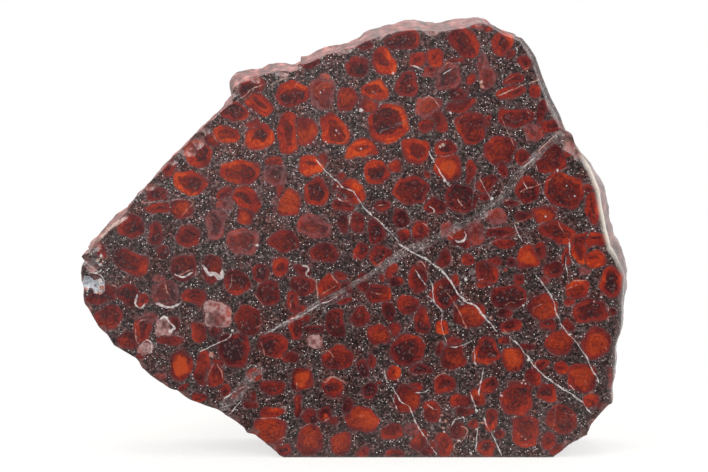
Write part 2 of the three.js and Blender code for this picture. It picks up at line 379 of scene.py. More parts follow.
COLUMNS: tuple[Column, ...] = (
    # The left end.
    Column(-62, 55.8, 5, 3.4, -25, R, core=(-1.5, 0.2)), Column(-53.2, 58.6, 2.1, 2.5, 0, W),
    Column(-47.3, 54, 3.8, 3.1, 80, W, 0.08), Column(-71, 45.3, 3.5, 1.5, 10, W),
    Column(-67.3, 47.3, 2.2, 2.2, 0, W), Column(-68.5, 40, 3.8, 3.1, 20, W, 0.1),
    Column(-63, 46.8, 3.4, 2.6, 120, R, -0.2), Column(-59, 44.7, 1.9, 1.7, 90, R),
    Column(-52.3, 47, 4.2, 3.6, 0, D, -0.1), Column(-44, 45.5, 3.6, 2.5, -15, R),
    Column(-54.7, 51.3, 1.8, 1, 0, D), Column(-57.8, 40, 3, 1.2, 0, D, -0.1),
    Column(-58.8, 36.3, 3.9, 2.2, 90, R, 0.1, core=(0.2, 0.6)), Column(-63.3, 33.6, 3.2, 2.6, 0, W, 0.08),
    Column(-52.8, 37.6, 2.7, 2.6, 0, P), Column(-50, 38.5, 2, 2, 0, W),
    Column(-51.3, 34, 3.5, 1.5, 0, E, -0.1), Column(-43.3, 36, 3, 2.3, 90, W, 0.2),
    Column(-61.8, 65.6, 3.9, 2.5, 12, R), Column(-55.6, 63.7, 2.9, 1.9, 80, W, 0.12),
    Column(-46.2, 63.3, 3.1, 2.9, 0, R), Column(-69.8, 59, 2, 1, 90, W),
    Column(-54.5, 75.2, 3, 2.1, 10, W, 0.15), Column(-52.6, 74.4, 1.9, 0.8, 90, E),
    Column(-54, 70.9, 3.2, 1.4, 0, R), Column(-47.5, 70.6, 3.6, 2.7, -10, E, -0.1),
    Column(-45.2, 78.2, 5.3, 3, -12, V, bend=0.22), Column(-51.3, 82, 2.4, 1.4, 50, R),
    Column(-43.3, 85.9, 3.9, 3.5, -45, V, -0.05, core=(0.6, 0.8)),
    # The lower left.
    Column(-58, 30.8, 2.2, 2, 90, P), Column(-59, 28.9, 1.2, 1.2, 0, R, -0.1),
    Column(-54.5, 23.2, 1.8, 1, 0, D, 0.2), Column(-48.5, 26.8, 4.2, 2.9, 100, M, taper=0.3),
    Column(-42.2, 25.8, 5, 2.2, 90, W, 0.25), Column(-38.8, 24, 3.2, 2.1, 90, R, 0.05, taper=0.6),
    Column(-33.3, 31, 5.2, 4.6, 90, R, -0.18), Column(-29.5, 39, 4.4, 3.8, 90, R, -0.15),
    Column(-27.6, 24, 2.1, 1.7, 0, R), Column(-43, 17.3, 2.3, 1.4, 10, R),
    Column(-36, 19.3, 1.5, 1.3, 90, R), Column(-28.5, 17.3, 1.6, 0.8, 90, W),
    Column(-28.7, 15, 1.9, 1.2, 0, W), Column(-33, 18.6, 2.1, 0.9, 50, R),
    Column(-23.2, 13, 3.8, 1.5, 10, R, 0.15), Column(-23.9, 7.5, 4.8, 4.2, 0, E),
    Column(-20, 2.5, 2.4, 1.7, 20, R), Column(-22.8, 20.2, 3.7, 2.2, 0, R, -0.2),
    Column(-14.3, 22.6, 3.4, 3.3, 0, M), Column(-15.3, 15, 3, 1.3, 85, E, -0.1),
    Column(-12.5, 5, 4.5, 3.8, 90, E, -0.05), Column(-8, 12.8, 2.3, 1.9, 90, M),
    Column(-11.7, 12, 2.3, 2.1, 0, W), Column(-5.5, 10.8, 1.2, 1.2, 0, W), Column(-3.8, 3.9, 3.1, 3, 90, E),
    Column(-1.5, 15.3, 2, 1.4, 90, W), Column(-5.8, 20, 3.6, 2.8, 0, R),
    Column(-38.5, 36.2, 1.6, 1.1, 40, W), Column(-38, 27.5, 1.3, 1, 0, W, 0.1),
    Column(-47.5, 20.4, 1.5, 0.9, 20, W, 0.1),
    # The middle left.
    Column(-39.5, 54, 4, 3, 90, W, 0.1), Column(-32.7, 50, 3.7, 3.2, 90, R, -0.05),
    Column(-25.9, 52.7, 2.4, 2.3, 0, W), Column(-20, 54, 2.8, 2.4, 90, R, 0.15),
    Column(-23.8, 46.7, 4.2, 3.5, 90, R, -0.25), Column(-14, 49.3, 3.6, 2.9, 0, W, 0.12),
    Column(-14, 53.8, 2.2, 1.3, 0, W), Column(-7, 48.8, 3.2, 2.8, 90, R, 0.1, taper=0.4),
    Column(-17, 44.5, 3, 1.8, 90, R), Column(-15, 42.5, 1.5, 1, 0, R),
    Column(-16, 37.3, 3.8, 2.2, 90, R, -0.05), Column(-13, 39.8, 1.2, 1, 0, R),
    Column(-38, 40.6, 3.7, 3.6, 90, P, 0.05, core=(-0.7, -0.9)),
    Column(-22.7, 32.2, 3.8, 3.4, -10, R, core=(-0.6, -0.8)), Column(-17.5, 29, 2.6, 1.6, 0, R, -0.2),
    Column(-11, 33, 2, 1.7, 30, P, -0.1), Column(-10.8, 36.5, 2.3, 1.2, 0, W),
    Column(-5, 38.5, 4, 3, 90, R, -0.2), Column(-38.3, 66, 4.2, 2.9, 80, D),
    Column(-30.8, 61.5, 4.2, 3.5, 0, D, 0.06), Column(-20, 61.7, 4.4, 2.9, 0, R, 0.04, core=(0.2, -0.4)),
    Column(-11, 65.7, 5, 3, -10, D, 0.12), Column(-8.3, 58.2, 4.2, 2.9, 0, W, 0.12),
    Column(-36, 74.7, 2.5, 1.8, 0, R, -0.1), Column(-36, 71.5, 2.4, 2, 0, D),
    Column(-30, 73.3, 4.6, 3.2, -35, V, -0.08, core=(-0.8, 0.8)), Column(-30.5, 68.7, 2.3, 2.2, 90, E, 0.1),
    Column(-31.5, 81, 5.4, 3.5, 0, V, -0.03, bend=0.08), Column(-21.8, 79.8, 3.2, 3.2, 0, D, -0.12),
    Column(-18.5, 72.3, 3.9, 3.8, 90, E, 0.12), Column(-20.5, 73.5, 3.8, 1.8, 90, V, -0.1),
    Column(-12, 82.8, 3.3, 2.7, 0, V, 0.02), Column(-10.5, 75.2, 4.1, 3.3, 90, V, -0.1),
    # The upper left.
    Column(-35, 91.2, 3.5, 2.7, -12, V), Column(-39.3, 89.5, 1.9, 1.7, 0, E),
    Column(-33, 97.8, 3.4, 2.6, 0, R, 0.18), Column(-26.3, 91, 3.9, 3.2, 0, V),
    Column(-28, 94.3, 1.9, 1.4, 40, E, 0.1), Column(-28, 104.8, 3.6, 3, 0, R, -0.08),
    Column(-32.5, 105, 1.7, 1.5, 0, P, -0.1), Column(-26, 99.8, 4.2, 2.6, -48, V, -0.14),
    Column(-17, 102.6, 4.5, 3.7, 0, V, -0.14, core=(-0.3, -0.6)),
    Column(-18, 91.7, 5.7, 3.4, 90, V, -0.03, taper=0.12), Column(-13.2, 92.6, 4, 3.4, 90, E, 0.08),
    Column(-22.5, 83.8, 2.7, 1.4, 10, E), Column(-8.9, 103, 4.4, 3.6, 90, D, 0.1),
    Column(-8.3, 107, 1.9, 1.4, 90, D, 0.28), Column(-1.7, 100.9, 3.1, 2.7, 90, E, 0.12),
    Column(6, 103.2, 3.8, 3.2, 20, V, 0.1, core=(-0.1, 0.2)), Column(4.2, 99.8, 2.5, 2.2, 0, E, 0.16),
    Column(9.4, 94.3, 5.7, 5.4, 0, V, 0.02, core=(-0.2, 0.6)),
    Column(-5.4, 93, 5, 3.5, 105, V, 0.02, taper=0.2, core=(0.3, -0.6)),
    Column(2, 87.3, 4.1, 2.8, 10, V, 0.02), Column(17, 86.8, 3.9, 3.8, 90, V, -0.06, core=(0.5, -0.3)),
    Column(14.5, 105, 3.5, 3.2, 90, W, 0.22), Column(1, 110.3, 3, 2.9, 0, W, 0.1),
    Column(20.3, 99.3, 3.6, 2.8, 0, D, 0.12), Column(20.8, 94.3, 3.6, 2, 0, R, 0.1),
    Column(-12, 111, 3, 1.2, 15, R, -0.1), Column(7.8, 111.5, 4, 3.2, -60, V, -0.02),
    Column(13.3, 117.3, 4.9, 2.7, 10, W, 0.22), Column(2.5, 116.3, 2.6, 1.5, 10, W),
    Column(17.3, 112, 2.4, 2, 0, V, -0.05), Column(22, 112.7, 2.6, 2.3, 90, V, 0.04),
    Column(21, 109.8, 1.6, 0.9, 0, R), Column(30.5, 116.5, 5, 3.6, -35, V, -0.24, core=(0.4, 0)),
    Column(26, 107.3, 3.8, 3.5, 0, D, 0.08), Column(27.5, 111.5, 3, 0.7, 10, R),
    Column(33.5, 121.2, 1.5, 0.8, 20, E), Column(36.8, 120.7, 1.3, 0.9, 0, E, -0.1),
    Column(32.5, 107, 1.8, 1.3, 90, R), Column(21, 108, 1.5, 0.8, 0, D, 0.2),
    # The middle.
    Column(-8.7, 84.7, 1.6, 1.3, 90, E), Column(-0.5, 75.5, 3.6, 3.4, -45, V, -0.08, core=(-1, -0.6)),
    Column(-2.2, 74, 2.2, 1.3, 0, W), Column(-2.8, 71.3, 3.2, 1.7, 0, R),
    Column(-4.7, 76.8, 1.3, 1.2, 0, E), Column(-4, 79.5, 1.2, 1, 0, R), Column(-2.8, 66.3, 2.3, 1.5, 90, W),
    Column(1, 67, 3, 1.7, 90, W, 0.16), Column(6.5, 81, 3.8, 3.3, 10, V, -0.02),
    Column(11, 82.5, 1.8, 1.7, 0, V, -0.08), Column(15.7, 76, 4.8, 3.9, -20, R, -0.02),
    Column(7.7, 71.3, 2.2, 1.6, 0, R, -0.1), Column(6, 64, 3.6, 2.2, 100, R, -0.18),
    Column(13, 68.3, 2.4, 2.3, 0, W, -0.2), Column(13.5, 63.5, 1.8, 1.8, 0, R),
    Column(18.3, 64.5, 3, 2.4, 90, R), Column(22.5, 71.3, 3, 2.2, 0, W, 0.1),
    Column(20.3, 80.3, 1, 0.8, 0, R), Column(2, 58.5, 2.4, 2.2, 90, R),
    Column(7.7, 57.5, 2.6, 2.5, 30, R, -0.16), Column(-4, 51.7, 1.9, 1.4, 0, R),
    Column(-2.3, 48.6, 1.8, 1.2, 0, W), Column(-7, 46.2, 3.3, 1.1, 25, R, -0.1),
    Column(-3.3, 45.4, 2.3, 0.8, 25, R, 0.1), Column(2.2, 51, 1.5, 1, 0, R),
    Column(3, 48.5, 1.7, 1.3, 0, W), Column(6.8, 47.2, 3.3, 3, 0, R), Column(8, 52, 1, 0.9, 0, E),
    Column(10.3, 53.2, 1.8, 1.3, 40, E), Column(11.8, 50.3, 2, 1.5, 0, W),
    Column(17.7, 51, 3.6, 2.4, 90, R), Column(19.5, 54.4, 1.5, 1.2, 0, R),
    Column(15, 43.8, 3.2, 2.6, 0, W, 0.2), Column(18.7, 39.5, 3.5, 1.9, 90, W, 0.2),
    Column(1.9, 40, 3.1, 2.5, 90, R), Column(7, 35.3, 3.1, 2.8, 0, E, 0.08, core=(0, -0.8)),
    Column(11, 37, 2.2, 2, 50, R), Column(9.3, 41.8, 2.5, 1.5, 90, R, -0.2),
    Column(14.8, 31, 4.7, 4.3, 0, R, -0.04), Column(-4.7, 28.5, 4.4, 3.4, 0, R, 0.04),
    Column(4.7, 19.3, 2.4, 2, 90, R, -0.2), Column(7.2, 21.3, 0.7, 0.5, 0, E),
    Column(2.3, 26, 2.5, 1.5, 90, W), Column(4.8, 27.5, 1.7, 1.1, 90, R),
    Column(2.2, 10.8, 4.6, 3.9, 0, E, 0.1), Column(2.3, 1.5, 1.6, 1.5, 0, R),
    # Low down, right of the middle.
    Column(11.3, 24.2, 2.2, 2, 90, R, 0.12), Column(18.7, 25.3, 3.1, 1.4, -8, R, -0.16),
    Column(17.2, 20.6, 2, 1.3, 0, R), Column(14.8, 16.8, 4.2, 3.9, 90, E, -0.06),
    Column(25.1, 21.4, 3.3, 2.6, 15, R), Column(21.7, 13.3, 3.2, 2.2, 90, R, 0.1),
    Column(29.5, 16.6, 3.1, 2, 0, R, 0.04), Column(34.6, 17.3, 2.6, 2.5, 0, E, 0.1),
    Column(37.7, 20.6, 2.1, 2.1, 0, R), Column(31, 13.4, 2.2, 1.2, 0, W),
    Column(27.8, 28.9, 3.7, 3.6, 0, E, -0.08), Column(37.2, 31, 4.2, 3.4, 90, R, 0.12, taper=0.5),
    Column(10.4, 7.6, 2.7, 2.5, 0, R), Column(15.8, 8.5, 2.2, 1.4, 0, D), Column(18.2, 5, 2.6, 2.2, 90, E),
    Column(21.5, 3, 2.5, 1.7, 40, E, -0.08), Column(25, 3.5, 3.6, 2.6, 90, R, 0.1),
    Column(11.5, 1, 2.6, 1.2, 0, R), Column(29, 7.7, 2.4, 2.2, 90, W, 0.02),
    Column(33.3, 9.8, 1.6, 1, 0, R), Column(38.6, 10.8, 2.8, 2.1, 90, R, 0.12),
    Column(37.1, 2.7, 2.8, 2.6, 0, R, 0.12), Column(41.2, 7, 1.2, 1, 90, R),
    # Right of the middle.
    Column(25.5, 46.8, 4.2, 3.8, 45, R, -0.12), Column(28.2, 50.4, 2, 1.2, 90, R, 0.12),
    Column(32.5, 40.8, 4.5, 3.5, 0, E, -0.06), Column(24.3, 37.2, 2.5, 2.2, 90, V, 0.1),
    Column(36.8, 53, 3.3, 2.7, 120, R, 0.08), Column(38.8, 55.7, 1.4, 1.1, 0, R),
    Column(36.3, 49.6, 2, 1, 0, R), Column(43, 46, 5, 3.2, 0, R, -0.06),
    Column(45.8, 50.9, 1.8, 1.3, 90, R), Column(48.3, 57, 3.3, 3.3, 0, M, 0.24),
    Column(51.7, 58.8, 2.2, 1.2, 90, R), Column(43.5, 55.8, 1.8, 1.2, 0, W),
    Column(41.8, 53.6, 0.8, 0.7, 0, D, 0.3), Column(52.6, 42.6, 4.2, 4, 60, E, 0.04),
    Column(43.5, 37.7, 3, 1.9, 0, R), Column(28, 33.2, 2.5, 1, 0, R), Column(24.3, 31, 2, 1, 90, W),
    Column(42.7, 41.3, 1.8, 1.2, 0, W), Column(47.8, 32, 2, 1.2, 0, W),
    Column(44.3, 28.3, 3.4, 2.8, 90, E, 0.1), Column(42, 33.8, 1.5, 1, 0, W),
    Column(31.8, 56.5, 2.3, 1.8, 0, W, 0.2), Column(24.9, 57.1, 2.5, 1.7, 90, W),
    Column(26, 82, 3.5, 3.4, 90, M, 0.3), Column(29.5, 73.8, 4.2, 3.5, -20, R, -0.18),
    Column(36.5, 77.5, 2.5, 2, 40, W, 0.2), Column(36, 74, 2, 1.2, 0, R),
    Column(32, 81, 3.5, 1.2, 90, W, 0.2), Column(41, 82.5, 3, 1.5, 90, R),
    Column(46.8, 84.7, 2.2, 2, 90, R), Column(48, 76, 3.8, 3.3, 90, R, -0.06),
    Column(46.7, 68.6, 2.3, 1.4, 0, W), Column(39.5, 68.5, 3, 2.3, 0, D, 0.1),
    Column(40.5, 64, 4.5, 1.2, 10, W, 0.2), Column(41.3, 61.2, 3.5, 1.3, 0, R, -0.06),
    Column(43.5, 72.2, 1.5, 1, 0, W), Column(29, 63.2, 3.2, 2.1, 0, E), Column(33.5, 63.5, 3.5, 2.6, 90, D),
    Column(30, 60.6, 3, 1.1, 0, R, -0.14), Column(25.5, 65, 1.5, 1.5, 0, D),
    # The upper right.
    Column(40.7, 116.2, 3.3, 3, 0, V, -0.08), Column(43.6, 114, 1.6, 1.5, 0, R, -0.2),
    Column(36.3, 107, 3.2, 1.8, 90, D, 0.1), Column(35.8, 111, 2, 1.4, 90, D),
    Column(29, 102.5, 2.5, 1.8, 0, W), Column(29.7, 99.4, 4.3, 1.6, 15, R, -0.06),
    Column(23, 94.8, 2.8, 2.5, 90, R, -0.1), Column(32, 93, 4.5, 4, 90, R, -0.04),
    Column(36.6, 95, 1.5, 1, 90, R), Column(40.3, 87, 4.3, 4, 0, W, 0.22),
    Column(25.2, 87.4, 2.8, 2.5, 0, R), Column(44.5, 96.3, 4.8, 2.8, 0, R, bend=0.2),
    Column(43.3, 103.2, 4.2, 1.8, 10, R, 0.08), Column(43.5, 106.8, 3, 1.2, 10, R),
    Column(46.8, 111, 1.8, 1.7, 0, R), Column(49.8, 103.4, 1.5, 1.5, 0, R, 0.12),
    Column(51.4, 97.8, 3.5, 1.2, 80, R, -0.18), Column(54.3, 93.8, 2.8, 1.8, 0, R, -0.04),
    Column(49.5, 92, 2.6, 2.2, 0, D, 0.06),
    # The right end.
    Column(55, 53.7, 2.8, 2.5, 0, W, 0.12), Column(53.3, 50.7, 1.5, 1.2, 0, D),
    Column(57.2, 33, 4.2, 3.4, -20, E, 0.04), Column(53.8, 38, 2, 1.4, 0, R),
    Column(59.5, 37.7, 2, 1.3, 0, R), Column(62, 48, 3.5, 2.8, 0, R, 0.12),
    Column(60, 44.3, 1.5, 1.2, 0, R), Column(66, 41.7, 4.7, 3.4, 0, W, 0.24),
    Column(67.7, 32.5, 4.5, 4.2, 90, E, 0.02), Column(71.9, 41.8, 1.3, 1.3, 0, W),
    Column(71.5, 50, 4.4, 3, 90, V, -0.08), Column(64, 53.5, 1.8, 1, 0, D),
    Column(54.5, 84.6, 4.3, 4, 0, W, 0.2), Column(58.3, 75.7, 5.4, 4.9, 0, R, 0.06),
    Column(66, 70.8, 4.8, 1.9, 90, V, -0.12), Column(64.6, 76.5, 1.3, 1, 90, R),
    Column(52.5, 69, 3.6, 2.3, 0, E, -0.06), Column(56.3, 64.3, 5.6, 3, -25, R, 0.12),
    Column(62.8, 59.5, 4.6, 2.6, 90, V, -0.1), Column(66.7, 62, 3.1, 2.1, 0, V, -0.1),
    Column(67.2, 56.6, 3.5, 2, 0, V, -0.1), Column(58.8, 57.3, 2.8, 1, 90, R, 0.04),
    Column(59.8, 86.8, 2, 1.3, 40, R), Column(66.5, 77.5, 1.2, 0.8, 90, W),
    # The lower right.
    Column(49.8, 22.8, 2.6, 2.3, 90, R, -0.08), Column(45.5, 17.3, 4.8, 4.3, 90, R),
    Column(53.8, 18.8, 2.7, 2.6, 0, R, 0.04), Column(58, 25.5, 2.2, 2.1, 35, R),
    Column(52.3, 26.6, 2.2, 1.7, 45, R), Column(64, 23, 4.2, 4.1, 0, E, 0.06),
    Column(66.3, 16.3, 2.8, 2, 0, R, 0.1), Column(69.4, 14.6, 1.6, 1.4, 0, E, -0.15),
    Column(72.2, 23, 2.7, 0.9, 90, E, -0.1), Column(57.5, 11.3, 4.7, 4, 0, R, 0.04),
    Column(48, 7.8, 4.5, 4.2, 90, R, -0.02), Column(54.5, 4.7, 2, 2, 0, R),
    Column(57.6, 2.4, 2.2, 1.6, 0, E, -0.15),
)


class Tint(Enum):
    """What fills a vein or makes a grain, as a place on the vein colours from dark to pink."""

    SLATE = 0.0
    MAUVE = 0.3
    ICE = 0.45
    WHITE = 0.6
    CREAM = 0.8
    PINK = 1.0


@dataclass(frozen=True)
class Vein:
    """A healed crack or a pale rim of mineral: its width in mm, its filling and its course as X and Z."""

    width: float
    tint: Tint
    points: tuple[Point, ...]


@dataclass(frozen=True)
class Grain:
    """A round grain of quartz: its middle and radius in mm, and its tint."""

    x: float
    z: float
    radius: float
    tint: Tint


SLATE, MAUVE, ICE, WHITE, CREAM, PINK = Tint

# The grey fibrous band that crosses the face, in two lengths, and the fan that it starts from.
BANDS: tuple[Vein, ...] = tuple(Vein(*row) for row in (
    (1.5, MAUVE, ((-26, 35), (-20, 38), (-16, 40), (-10, 44), (-5, 46.5), (0, 49.5), (5, 52.5))),
    (2.5, MAUVE, (
        (5, 52.5), (10, 56), (15, 59), (20, 61), (26, 64), (30, 66.3), (34, 68), (37, 70.3), (39.5, 72),
        (42, 75), (44, 78), (46, 81), (50, 85), (54, 89.5), (58, 92),
    )),
    (3.2, MAUVE, ((-37.5, 13.6), (-33, 18), (-28, 24), (-25, 26))),
))

